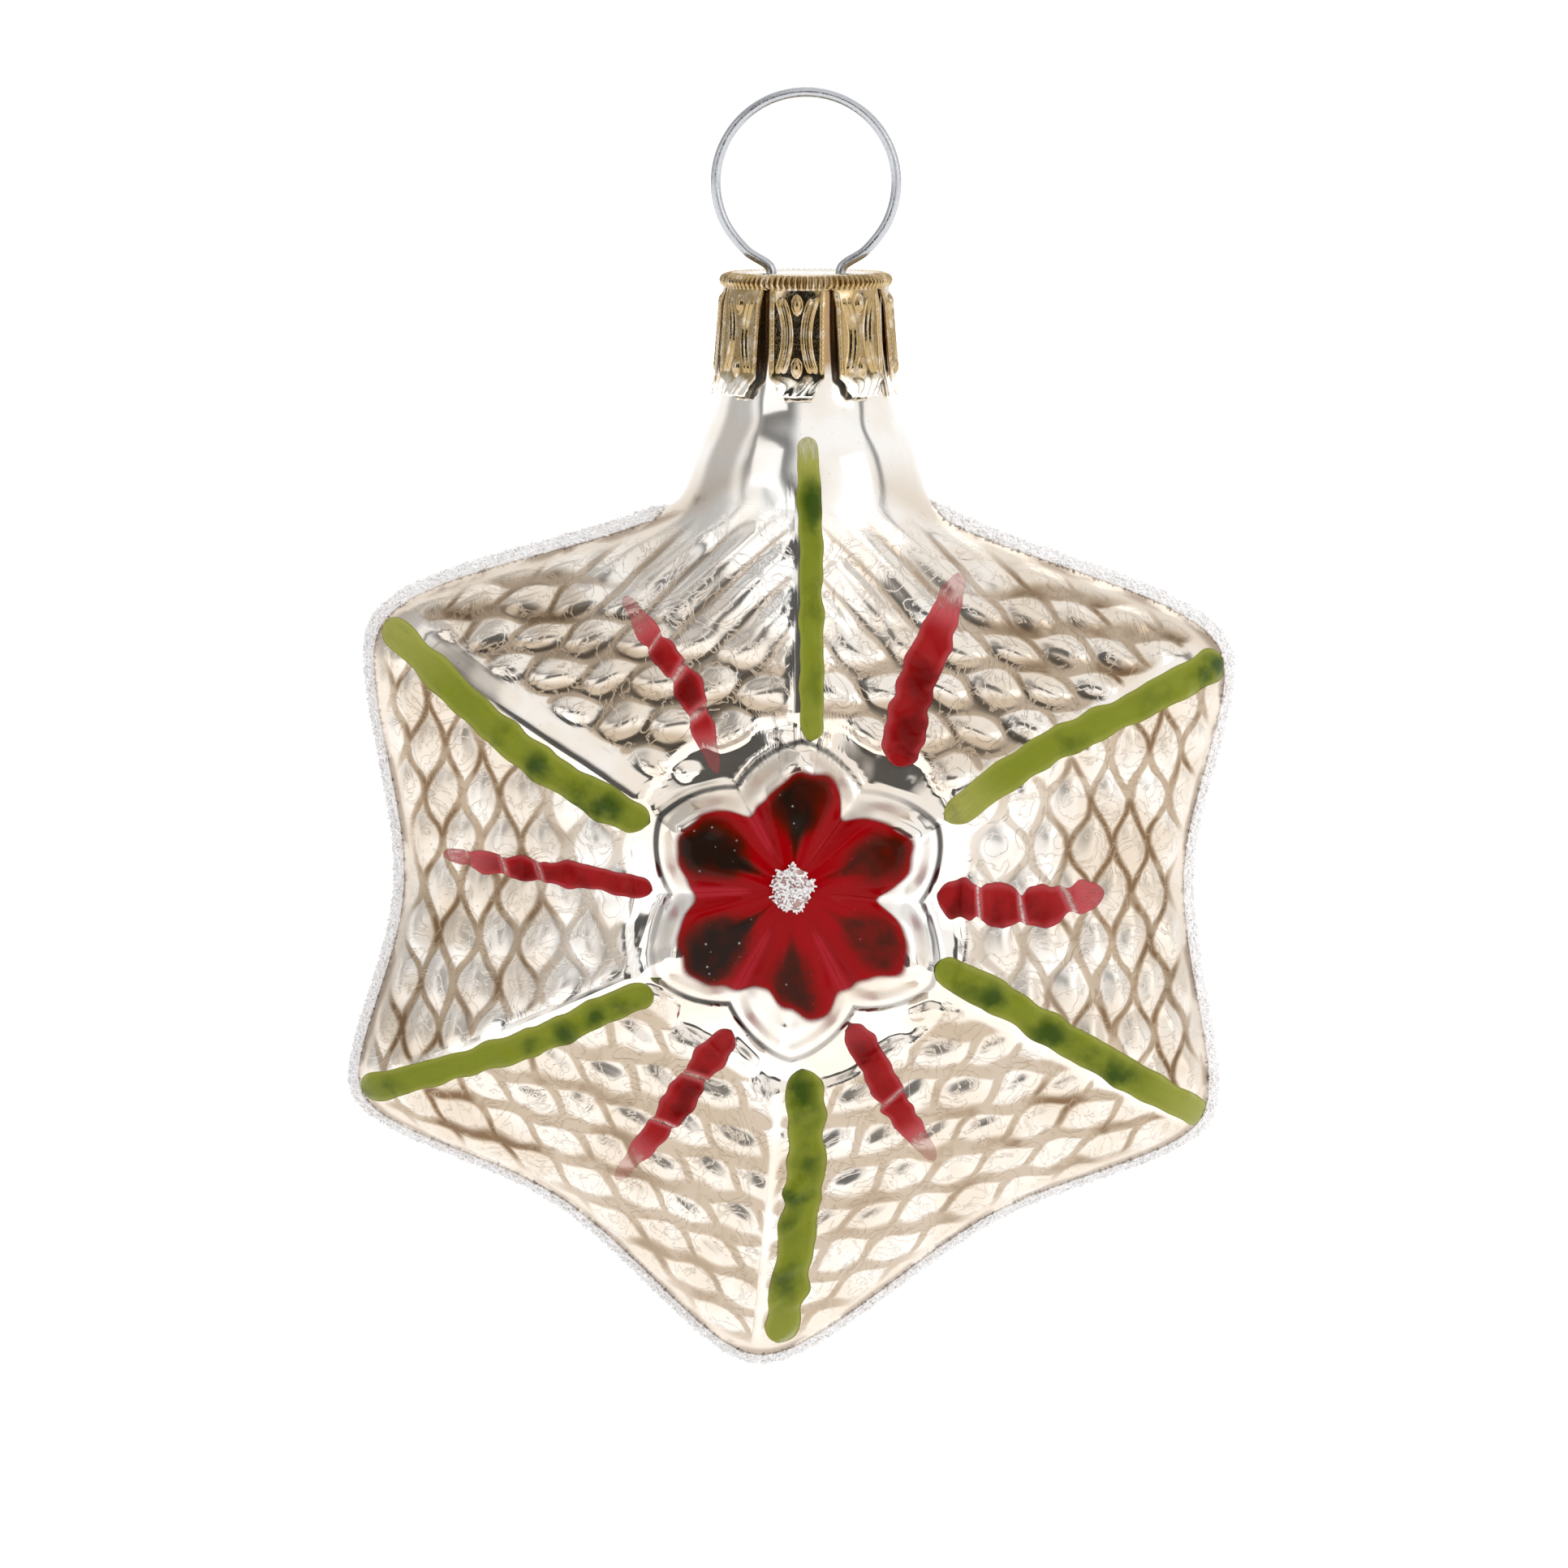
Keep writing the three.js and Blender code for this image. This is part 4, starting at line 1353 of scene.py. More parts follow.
    def zones(self, points: np.ndarray, is_outer: np.ndarray) -> dict[str, np.ndarray]:
        """Works out each vertex's relief and finish.

        Args:
            points: The vertices before their relief.
            is_outer: Which vertices lie on the outside.

        Returns:
            The lift along y and the named values that the finish and the quilting read.
        """
        x, y, z = points[:, 0] - STAR_SHIFT, points[:, 1], points[:, 2]
        side = np.where(y > 0.0, 1.0, -1.0)
        angle = np.arctan2(z, x)
        distance = np.hypot(x, z)
        share = distance / self.form.reach(angle)
        outside = is_outer.astype(float)
        quilting = self.quilting
        at, _, _ = self.form.marks()
        tip, corner, _ = self.form.sector(angle)
        on_panel, on_ridge = np.radians(at[corner]), np.radians(at[tip])
        along = x * np.cos(on_panel) + z * np.sin(on_panel)
        off = z * np.cos(on_panel) - x * np.sin(on_panel)
        from_ridge = np.abs(z * np.cos(on_ridge) - x * np.sin(on_ridge))
        is_end_panel = np.abs(np.sin(on_panel)) > 0.5
        bare_width = quilting.ridge_half_width + np.array(quilting.bare_bands)[(tip - 1) // 2] * is_end_panel
        past = (from_ridge - bare_width) / (2.0 * quilting.ridge_blend) + 0.5
        off_ridge = smoothstep(past, 0.0, 1.0)
        up_neck = smoothstep(z, 20.0, 25.0) * smoothstep(np.abs(x), 14.0, 8.0)
        quilt = outside * smoothstep(share, 0.99, 0.93) * off_ridge * (1.0 - up_neck)
        near_neck = smoothstep(np.hypot(x * 0.8, z - 27.0), 15.0, 9.0)
        on_face = smoothstep(distance, 7.0, 9.5) * smoothstep(share, 1.0, 0.88) * smoothstep(z, 27.0, 22.0)
        rest = np.maximum(1.0 - np.hypot(from_ridge, 0.3) / self.ridge_reach, 0.0)
        crest = self.ridge_rise * rest * rest * on_face * outside
        row, across = quilting.row(along), off / quilting.diamond_length
        free = 1.0 - near_neck
        row = row + free * (0.05 * np.sin(1.1 * x + 0.7 * z) + 0.04 * np.sin(1.7 * z - 0.6 * x + 1.0))
        across = across - free * quilting.ogee * np.sin(4.0 * math.pi * across) / (4.0 * math.pi)
        cell = np.sin(math.pi * (row + across)) * np.sin(math.pi * (row - across))
        moat = self.rosette.moat_share(x, z, cell * cell * is_end_panel)
        quilt *= 1.0 - moat
        keep_rising = 1.0 - near_neck * (x > 0.0)
        keep_falling = 1.0 - near_neck * (x < 0.0)
        neck = smoothstep(z, 24.0, 28.0)
        bare = np.maximum(moat - self.rosette.petal_share(x, z), 1.0 - off_ridge)
        bare = np.maximum(bare * (1.0 - neck), neck * 0.8)
        to_side = np.abs(np.cos(angle)) ** 2
        stain = (0.35 + 0.65 * to_side) * smoothstep(share, 0.35, 0.85)
        amber = outside * smoothstep(z, 32.0, 32.8) * 0.9
        near = smoothstep(distance, 14.0, 12.5)
        relief = outside * self.rosette.relief(x, z, cell * cell * is_end_panel) * near
        # The upper panels (1) and lower panels (0.8), which the finish darkens with painted shade and makes
        # glossier
        top_bottom_panels = smoothstep(np.sin(angle), 0.3, 0.6) + 0.8 * smoothstep(-np.sin(angle), 0.3, 0.6)
        rim = outside * smoothstep(share, 0.93, 0.985) * (1.0 - neck)
        # Where the painted shade line round the petals runs, and how dark it is
        from_petals, moat_shade = self.rosette.moat_shade(x, z)
        gloss = top_bottom_panels * (1.0 - self.rosette.petal_share(x, z))
        top_bottom_panels = top_bottom_panels * free
        # Which groove family carries the painted shade on the pillows' lower sides, on the upper and lower
        # panels
        lean = np.sign(np.sin(2.0 * on_panel)) * is_end_panel * top_bottom_panels
        return {"lift": side * (relief + crest), "top_bottom_panels": top_bottom_panels, "gloss": gloss, "rim": rim, "lean": lean,
                "upper": (z > 0.0).astype(float), "from_petals": from_petals, "moat_shade": moat_shade * outside,
                "quilt": quilt, "row": row, "side": across, "keep_rising": keep_rising,
                "keep_falling": keep_falling, "bare": bare * outside + (1.0 - outside) * 0.5,
                "stain": stain, "amber": amber}


# Coats on the glass


def set_coat_values(piece: bpy.types.Object, **values: np.ndarray) -> None:
    """Stores one number per grid point on both faces of a coat.

    Args:
        piece: The coat.
        values: The numbers, by attribute name.
    """
    set_values(piece, **{name: np.tile(numbers.ravel(), 2) for name, numbers in values.items()})


class GlassFace:
    """Finds the finished glass surface under points of one face."""

    def __init__(self, glass: bpy.types.Object, side: Side) -> None:
        """Keeps a search tree of the glass.

        Args:
            glass: The finished glass.
            side: The face that the coats lie on.
        """
        graph = bpy.context.evaluated_depsgraph_get()
        self.tree = BVHTree.FromObject(glass, graph)
        self.side = side

    def surface(self, x: np.ndarray, z: np.ndarray) -> np.ndarray:
        """Finds the surface's y in millimetres.

        Args:
            x: Distances from the star's centre line.
            z: Heights from the star's centre.

        Returns:
            The y of each point, with the sign of the face.
        """
        outside = np.full(x.shape, RAY_START * self.side.value)
        start = in_frame(np.stack([x + STAR_SHIFT, outside, z], axis=-1))
        ray = Vector((0.0, -float(self.side.value), 0.0))
        found = []
        for point in start.reshape(-1, 3):
            hit = self.tree.ray_cast(Vector(point), ray)[0]
            found.append(hit.y / MM if hit is not None else 0.0)
        return np.array(found).reshape(x.shape)

    def coat(self, name: str, x: np.ndarray, z: np.ndarray, thickness: np.ndarray) -> bpy.types.Object:
        """Lays a closed thin coat over a grid of points.

        Args:
            name: The coat's name.
            x: Distances from the star's centre line, by row and column.
            z: Heights from the star's centre, by row and column.
            thickness: The coat's thickness at each point.

        Returns:
            The coat, with its outer grid first and its inner grid after it.
        """
        sign = float(self.side.value)
        under = self.surface(x, z)
        outer = np.stack([x + STAR_SHIFT, under + sign * thickness, z], axis=-1).reshape(-1, 3)
        inner = np.stack([x + STAR_SHIFT, under - sign * COAT_SINK, z], axis=-1).reshape(-1, 3)
        index = np.arange(x.size).reshape(x.shape)
        below = index + x.size
        flip = self.side is Side.BACK
        border = np.concatenate([index[0, :-1], index[:-1, -1], index[-1, :0:-1], index[:0:-1, 0]])
        border = np.append(border, border[0])
        faces = grid_faces(index, flip=not flip) + grid_faces(below, flip=flip)
        faces += grid_faces(np.stack([border, border + x.size]), flip=not flip)
        return make_piece(name, np.concatenate([outer, inner]), faces)


@dataclass(frozen=True)
class Stroke:
    """One brush stroke: where it runs, how wide it is and where its paint pools or thins."""

    name: str
    wider: float
    line: tuple
    pools: tuple = ()
    thin_ends: tuple = (0.0, 0.0)
    waist: float = 0.12
    gaps: tuple = ()
    longer: float = 0.0
    fade: float = 0.36


GREEN_STROKES = (
    Stroke("upper_right", 0.08, ((29.1, 0.36), (31.2, 0.58), (29.5, 0.79), (29.0, 0.94)),
           ((0.97, 0.07, 0.9), (0.45, 0.04, 0.4), (0.6, 0.03, 0.3), (0.75, 0.03, 0.35)), (0.45, 0.0),
           0.12, (), 0.9),
    Stroke("top", -0.2, ((84.6, 0.37), (87.1, 0.67), (88.1, 0.86)),
           ((0.2, 0.06, 0.3), (0.45, 0.06, 0.4), (0.62, 0.06, 0.5), (0.8, 0.06, 0.9)), (0.1, 0.6), 0.12,
           (), 2.9, 0.18),
    Stroke("upper_left", 0.12, ((152.0, 0.36), (152.5, 0.48), (151.1, 0.64), (146.8, 0.94)),
           ((0.13, 0.04, 1.0), (0.23, 0.03, 0.8), (0.37, 0.03, 0.9), (0.5, 0.03, 0.5)), (0.0, 0.38),
           0.15, (), 0.9),
    Stroke("lower_left", -0.03, ((211.5, 0.38), (209.4, 0.48), (208.2, 0.64), (204.8, 0.94)),
           ((0.07, 0.06, 0.6), (0.2, 0.025, 0.8), (0.31, 0.025, 0.8), (0.42, 0.02, 0.7), (0.93, 0.04, 0.7)),
           (0.0, 0.0), 0.15, (), 0.9),
    Stroke("bottom", 0.22, ((272.7, 0.39), (272.7, 0.53), (270.9, 0.69), (268.1, 0.93)),
           ((0.1, 0.07, 0.8), (0.32, 0.05, 0.7), (0.45, 0.025, 0.8), (0.6, 0.05, 0.7), (0.78, 0.05, 0.7)),
           (0.0, 0.2), 0.15, (), 0.4),
    Stroke("lower_right", 0.08, ((335.5, 0.35), (334.2, 0.51), (332.6, 0.66), (331.5, 0.95)),
           ((0.1, 0.05, 0.5), (0.22, 0.03, 0.9), (0.42, 0.04, 0.9), (0.55, 0.03, 0.7), (0.68, 0.04, 0.9)),
           (0.0, 0.3), 0.16, (), 0.9),
)

RED_STROKES = (
    Stroke("right", 0.3, ((1.8, 0.38), (359.2, 0.5), (358.4, 0.6), (361.0, 0.76)),
           ((0.12, 0.07, 0.75), (0.37, 0.07, 0.8), (0.63, 0.08, 0.9), (0.88, 0.05, 0.5)), (0.0, 0.5), 0.25,
           ((0.245, 0.02), (0.5, 0.022), (0.79, 0.04))),
    Stroke("upper_right", 0.25, ((54.0, 0.42), (60.7, 0.59), (61.9, 0.72), (63.0, 0.87)),
           ((0.2, 0.12, 1.0), (0.45, 0.08, 0.7)), (0.0, 0.8), 0.15),
    Stroke("upper_left", -0.1, ((120.6, 0.38), (116.6, 0.58), (118.2, 0.69), (119.4, 0.82)),
           ((0.44, 0.06, 1.0), (0.65, 0.06, 0.8), (0.8, 0.05, 0.7)), (1.0, 0.8), 0.3,
           ((0.32, 0.035), (0.54, 0.03), (0.73, 0.015))),
    Stroke("left", -0.2, ((175.2, 0.38), (173.3, 0.53), (173.5, 0.7), (172.9, 0.86)),
           ((0.12, 0.08, 0.3), (0.38, 0.1, 0.7), (0.62, 0.04, 0.8), (0.8, 0.05, 0.8)), (0.0, 0.6), 0.3,
           ((0.54, 0.018), (0.71, 0.02), (0.88, 0.015))),
    Stroke("lower_left", -0.02, ((242.9, 0.38), (240.4, 0.5), (239.7, 0.61), (237.8, 0.83)),
           ((0.2, 0.08, 0.7), (0.45, 0.09, 0.9)), (0.1, 0.9), 0.25, ((0.3, 0.025), (0.6, 0.02))),
    Stroke("lower_right", 0.0, ((294.4, 0.37), (295.6, 0.47), (296.2, 0.6), (297.8, 0.75)),
           ((0.12, 0.08, 0.7), (0.4, 0.1, 0.4)), (0.2, 1.0), 0.15, ((0.52, 0.02),)),
)


@dataclass
class BrushWork:
    """A set of strokes in one paint."""

    colour: str
    strokes: tuple
    taper: float
    half_width: float = 0.97
    thickness: float = 0.16
    past_end: float = 0.5
    furthest: float = 0.985
    raggedness: float = 0.035
    steps: int = 150
    across: int = 16

    def shape(self, stroke: Stroke, form: StarForm, seed: int) -> tuple[np.ndarray, ...]:
        """Works out a stroke's grid on the face.

        Args:
            stroke: The stroke.
            form: The glass form that its line is measured on.
            seed: The seed of its uneven edges.

        Returns:
            x and z of each point, and the point's share along and across the stroke.
        """
        random = np.random.default_rng(seed)
        angle = np.radians([degrees for degrees, _ in stroke.line])
        reach = np.array([share for _, share in stroke.line]) * form.reach(angle)
        middle = smooth_line(np.stack([reach * np.cos(angle), reach * np.sin(angle)], axis=1), self.steps)
        for end, inner, past in ((0, 1, self.past_end), (-1, -2, self.past_end + stroke.longer)):
            leave = middle[end] - middle[inner]
            middle[end] = middle[end] + leave * past / np.hypot(*leave)
        length = way_along(middle)
        even = np.linspace(0.0, length[-1], self.steps)
        middle = np.stack([np.interp(even, length, middle[:, axis]) for axis in (0, 1)], axis=1)
        way = np.gradient(middle, axis=0)
        way /= np.hypot(way[:, 0], way[:, 1])[:, None]
        length = way_along(middle)
        width = self.half_width + stroke.wider
        from_end = np.minimum(length, length[-1] - length) / width
        ends = np.sqrt(np.clip(1.0 - (1.0 - np.clip(from_end, 0.0, 1.0)) ** 2, 0.02, 1.0))
        along = length / length[-1]
        pool = sum(depth * bell(along, at, spread) for at, spread, depth in stroke.pools)
        gap = sum(bell(along, at, spread) for at, spread in stroke.gaps) if stroke.gaps else 0.0
        swell = ends * (1.0 + stroke.waist * (np.minimum(pool, 1.0) - 0.6)) * (1.0 - 0.2 * gap)
        inner, outer = stroke.thin_ends
        taper = inner * smoothstep(along, 0.25, 0.0) + outer * smoothstep(along, 0.6, 1.0)
        swell = swell * (1.0 - self.taper * taper)
        columns = []
        for sign in (-1.0, 1.0):
            phases = random.uniform(0.0, 2.0 * math.pi, 6)
            ragged = sum(np.sin(2.0 * math.pi * (1.7 + 1.6 * k) * along + phase)
                         for k, phase in enumerate(phases))
            columns.append(sign * width * swell * (1.0 + self.raggedness * ragged))
        across = np.linspace(0.0, 1.0, self.across)
        offset = columns[0][:, None] * (1.0 - across) + columns[1][:, None] * across
        sideways = np.stack([-way[:, 1], way[:, 0]], axis=1)
        grid = middle[:, None, :] + offset[:, :, None] * sideways[:, None, :]
        share = np.hypot(grid[..., 0], grid[..., 1]) / form.reach(np.arctan2(grid[..., 1], grid[..., 0]))
        share = np.where((np.abs(grid[..., 0]) < 4.0) & (grid[..., 1] > 0.0), 0.5, share)
        grid = grid * np.minimum(1.0, self.furthest / share)[..., None]
        return grid[..., 0], grid[..., 1], np.broadcast_to(along[:, None], offset.shape), \
            np.broadcast_to(across * 2.0 - 1.0, offset.shape)

    def build(self, face: GlassFace, form: StarForm, material: bpy.types.Material) -> None:
        """Paints every stroke of the set.

        Args:
            face: The glass face that takes the paint.
            form: The glass form that the strokes are measured on.
            material: The paint.
        """
        for number, stroke in enumerate(self.strokes):
            x, z, along, across = self.shape(stroke, form, 40 + number + len(self.colour))
            low = -math.copysign(0.3, math.cos(math.radians(stroke.line[1][0])))
            pool = sum(depth * bell(along, at, 1.6 * spread) for at, spread, depth in stroke.pools)
            pool = pool * bell(across, low, 0.9)
            inner, outer = stroke.thin_ends
            thin = inner * smoothstep(along, 0.30, 0.02) + outer * smoothstep(along, 0.98 - stroke.fade, 0.98)
            for at, spread in stroke.gaps:
                thin = np.maximum(thin, 0.7 * np.exp(-((along + 0.02 * across - at) / spread) ** 2))
            round_off = np.sqrt(np.clip(1.0 - np.abs(across) ** 3, 0.0, 1.0))
            thickness = self.thickness * (0.35 + 0.65 * round_off) * (1.0 + 0.5 * pool) * (1.0 - 0.6 * thin)
            node = f"{self.colour}_stroke_{stroke.name}"
            piece = face.coat(f"{self.colour}_paint_{stroke.name}", x, z, thickness)
            set_coat_values(piece, along=along * 20.0, across=across, pool=pool, thin=thin)
            piece.data.materials.append(material)
            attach(piece, "glass")
            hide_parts(node)
            LOG.info("%s", piece.name)


@dataclass
class LacqueredPetals:
    """The red lacquer on the rosette: one field for each petal, meeting in the grooves."""

    rosette: Rosette = Rosette()
    reach: tuple = (8.2, 7.0, 6.0, 7.8, 8.5, 8.0, 6.5, 7.6, 8.4, 8.1, 7.0, 6.3,
                    7.4, 7.9, 6.8, 7.2, 8.3, 7.3, 5.5, 7.6, 8.3, 7.4, 6.0, 8.2)
    pool_depth: tuple = (1.0, 0.7, 0.65, 0.75, 1.1, 1.15)
    pool_lean: tuple = (0.0, -4.0, 3.0, 0.0, 5.0, 2.0)
    burnt_edge: tuple = (0.9, 0.7, 0.5, 1.0, 1.0, 0.8)
    # How strong the painted pink highlight is along each seam
    seam_glow: tuple = (0.35, 0.25, 0.85, 0.8, 0.95, 0.9)
    thickness: float = 0.14
    steps_out: int = 34
    steps_round: int = 30

    def build(self, face: GlassFace, material: bpy.types.Material) -> None:
        """Lays the lacquer on each petal.

        Args:
            face: The glass face that takes the lacquer.
            material: The lacquer.
        """
        for number, name in enumerate(self.rosette.names):
            axis = self.rosette.turn - 60.0 * number
            off_line = np.linspace(30.0, -30.0, self.steps_round)
            angle = axis + off_line
            out = np.linspace(0.0, 1.0, self.steps_out) ** 0.9
            limit = ring_value(self.reach, (angle - self.rosette.turn) / 360.0)
            wobble = 0.12 * np.sin(np.radians(angle * 17.0)) + 0.08 * np.sin(np.radians(angle * 29.0 + 40.0))
            radius = np.maximum(out[:, None] * (limit + wobble)[None, :], 0.05)
            x, z = self.rosette.point(radius, angle[None, :])
            edge = np.broadcast_to(smoothstep(out, 0.80, 1.0)[:, None], radius.shape)
            wedge = smoothstep(np.abs(off_line - self.pool_lean[number]), 30.0, 4.0)[None, :]
            tail = 0.5 * smoothstep(np.abs(off_line - self.pool_lean[number]), 9.0, 1.0)[None, :]
            wedge = wedge * smoothstep(radius, 2.0, 5.2) + tail * smoothstep(radius, 1.0, 2.6)
            pool = np.minimum(wedge, 1.0) * smoothstep(out, 1.02, 0.82)[:, None]
            pool = pool * self.pool_depth[number]
            # Painted highlight along the seams between petals
            seam = smoothstep(np.abs(off_line), 21.0, 30.0)
            strength = np.where(off_line > 0.0, self.seam_glow[number - 1], self.seam_glow[number])
            glow = (seam * strength)[None, :] * smoothstep(radius, 1.5, 3.5)
            thickness = self.thickness * (1.0 - 0.8 * edge) * (1.0 + 0.6 * pool)
            piece = face.coat(f"lacquer_{name}", x, z, thickness)
            burnt = np.full(radius.shape, self.burnt_edge[number])
            set_coat_values(piece, pool=pool, edge=edge, glow=glow, burnt=burnt)
            piece.data.materials.append(material)
            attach(piece, "glass")
            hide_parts(f"petal_lacquer_{name}")
            LOG.info("%s", piece.name)


# Glitter


def grain_tree(name: str, seed: int) -> bpy.types.NodeTree:
    """Builds the geometry tree that strews grains over a surface.

    Args:
        name: The tree's name.
        seed: The seed of the grains' places, turns and sizes.

    Returns:
        The tree.
    """
    sizes = [(label, "Float") for label in ("Density", "Grain Width", "Grain Length")]
    sheet, given, result = new_geometry_tree(name, *sizes)
    strew = sheet.add("GeometryNodeDistributePointsOnFaces", distribute_method="RANDOM")
    sheet.feed(strew.inputs["Mesh"], given.outputs["Geometry"])
    density = sheet.times(given.outputs["Density"], sheet.stored("strewn"))
    sheet.feed(strew.inputs["Density"], density)
    strew.inputs["Seed"].default_value = seed
    # The grains drop the painted shade that the surface under them carries
    loose = sheet.add("GeometryNodeRemoveAttribute")
    sheet.feed(loose.inputs["Geometry"], strew.outputs["Points"])
    loose.inputs["Name"].default_value = "bed"
    grain = sheet.add("GeometryNodeMeshCylinder")
    grain.inputs["Radius"].default_value = 0.5
    grain.inputs["Depth"].default_value = 1.0
    grain.inputs["Vertices"].default_value = 5
    size = sheet.add("ShaderNodeCombineXYZ")
    for axis, width in (("X", "Grain Width"), ("Y", "Grain Width"), ("Z", "Grain Length")):
        sheet.feed(size.inputs[axis], given.outputs[width])
    turn = sheet.add("FunctionNodeRandomValue", data_type="FLOAT_VECTOR")
    turn.inputs["Max"].default_value = (2.0 * math.pi,) * 3
    turn.inputs["Seed"].default_value = seed + 1
    spread = sheet.add("FunctionNodeRandomValue", data_type="FLOAT")
    spread.inputs[2].default_value = 0.55
    spread.inputs[3].default_value = 1.25
    spread.inputs["Seed"].default_value = seed + 2
    scaled = sheet.add("ShaderNodeVectorMath", operation="SCALE")
    sheet.feed(scaled.inputs[0], size.outputs["Vector"])
    sheet.feed(scaled.inputs["Scale"], spread.outputs[1])
    put = sheet.add("GeometryNodeInstanceOnPoints")
    sheet.feed(put.inputs["Points"], loose.outputs["Geometry"])
    sheet.feed(put.inputs["Instance"], grain.outputs["Mesh"])
    sheet.feed(put.inputs["Rotation"], turn.outputs[0])
    sheet.feed(put.inputs["Scale"], scaled.outputs["Vector"])
    both = sheet.add("GeometryNodeJoinGeometry")
    sheet.feed(both.inputs["Geometry"], given.outputs["Geometry"])
    sheet.feed(both.inputs["Geometry"], put.outputs["Instances"])
    finish_tree(sheet, result, both.outputs["Geometry"], given.outputs["Material"])
    return sheet.tree


@dataclass
class CentreDab:
    """The heap of glitter stuck to the middle of the rosette."""

    rosette: Rosette = Rosette()
    half_width: float = 1.2
    half_height: float = 1.33
    rise: float = 0.55
    grains_per_square_mm: float = 26.0
    grain_width: float = 0.13
    grain_length: float = 0.54

    def build(self, face: GlassFace, material: bpy.types.Material) -> None:
        """Makes the heap.

        Args:
            face: The glass face that carries it.
            material: The glitter.
        """
        turn = np.linspace(0.0, 2.0 * math.pi, 49)[None, :]
        out = np.linspace(0.02, 1.0, 12)[:, None]
        ragged = 1.0 + 0.07 * np.sin(5.0 * turn + 1.0) + 0.05 * np.sin(9.0 * turn)
        middle_x, middle_z = self.rosette.point(0.0, 0.0)
        x = middle_x + self.half_width * out * ragged * np.cos(turn)
        z = middle_z + self.half_height * out * ragged * np.sin(turn)
        thickness = np.broadcast_to(self.rise * np.sqrt(1.0 - 0.9 * out ** 2), x.shape)
        piece = face.coat("glitter_dab", x, z, thickness)
        # The outer face carries the grains and painted shade between them; the underside carries neither
        shown = np.repeat([1.0, 0.0], x.size)
        set_values(piece, bed=shown, strewn=shown)
        tree = grain_tree("strewn_dab", 7)
        run_tree(piece, tree, Density=self.grains_per_square_mm / MM ** 2, Grain_Width=self.grain_width * MM,
                 Grain_Length=self.grain_length * MM, Material=material)
        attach(piece, "glass")
        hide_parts("centre_glitter")
        LOG.info("%s", piece.name)


@dataclass
class EdgeGlitter:
    """The band of glitter along the rim, from one shoulder of the neck round to the other."""

    half_width: float = 1.7
    sunk: float = 0.1
    bulge: float = 0.27
    first_angle: float = 108.0
    last_angle: float = 431.0
    grains_per_square_mm: float = 19.0
    grain_width: float = 0.16
    grain_length: float = 0.36

    @staticmethod
    def skin_radius(form: StarForm, angle: np.ndarray, y: np.ndarray) -> np.ndarray:
        """Finds how far out the glass has each depth.

        Args:
            form: The glass form.
            angle: Directions from the star's centre.
            y: Depths for each direction.

        Returns:
            The distances from the star's centre.
        """
        far = np.repeat(form.outline(angle)[:, None], y.shape[1], axis=1)
        near = 0.85 * far
        for _ in range(HALVINGS):
            middle = (near + far) / 2.0
            x, z = STAR_SHIFT + middle * np.cos(angle)[:, None], middle * np.sin(angle)[:, None]
            inside = form.depth_squared(x, z) > y ** 2
            near, far = np.where(inside, middle, near), np.where(inside, far, middle)
        return near

    def build(self, form: StarForm, material: bpy.types.Material) -> None:
        """Makes the band.

        Args:
            form: The glass form that it goes round.
            material: The glitter.
        """
        angle = np.radians(np.linspace(self.first_angle, self.last_angle, 700))
        swing = np.sin(np.linspace(-math.pi / 2.0, math.pi / 2.0, 13))
        taper = smoothstep(np.minimum(angle - angle[0], angle[-1] - angle), 0.0, 0.05)[:, None] * 0.9 + 0.1
        y = self.half_width * taper * swing[None, :]
        skin = self.skin_radius(form, angle, y)
        outer = skin + self.bulge * taper * np.sqrt(1.0 - 0.96 * swing ** 2)
        radius = np.concatenate([outer, (skin - self.sunk)[:, ::-1]], axis=1)
        y = np.concatenate([y, y[:, ::-1]], axis=1)
        x, z = STAR_SHIFT + radius * np.cos(angle)[:, None], radius * np.sin(angle)[:, None]
        points = np.stack([x, y, z], axis=-1)
        index = np.arange(radius.size).reshape(radius.shape)
        index = np.concatenate([index, index[:, :1]], axis=1)
        caps = [tuple(index[0, :-1]), tuple(index[-1, -2::-1])]
        piece = make_piece("glitter_rim", points.reshape(-1, 3), grid_faces(index, flip=True) + caps)
        # The outer face carries the grains and a little painted shade between them; the inner face carries
        # neither
        outside = np.tile(np.repeat([1.0, 0.0], len(swing)), len(angle))
        set_values(piece, bed=0.12 * outside, strewn=outside)
        tree = grain_tree("strewn_rim", 19)
        run_tree(piece, tree, Density=self.grains_per_square_mm / MM ** 2, Grain_Width=self.grain_width * MM,
                 Grain_Length=self.grain_length * MM, Material=material)
        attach(piece, "glass")
        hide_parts("edge_glitter")
        LOG.info("%s", piece.name)


# Crown cap and hanger


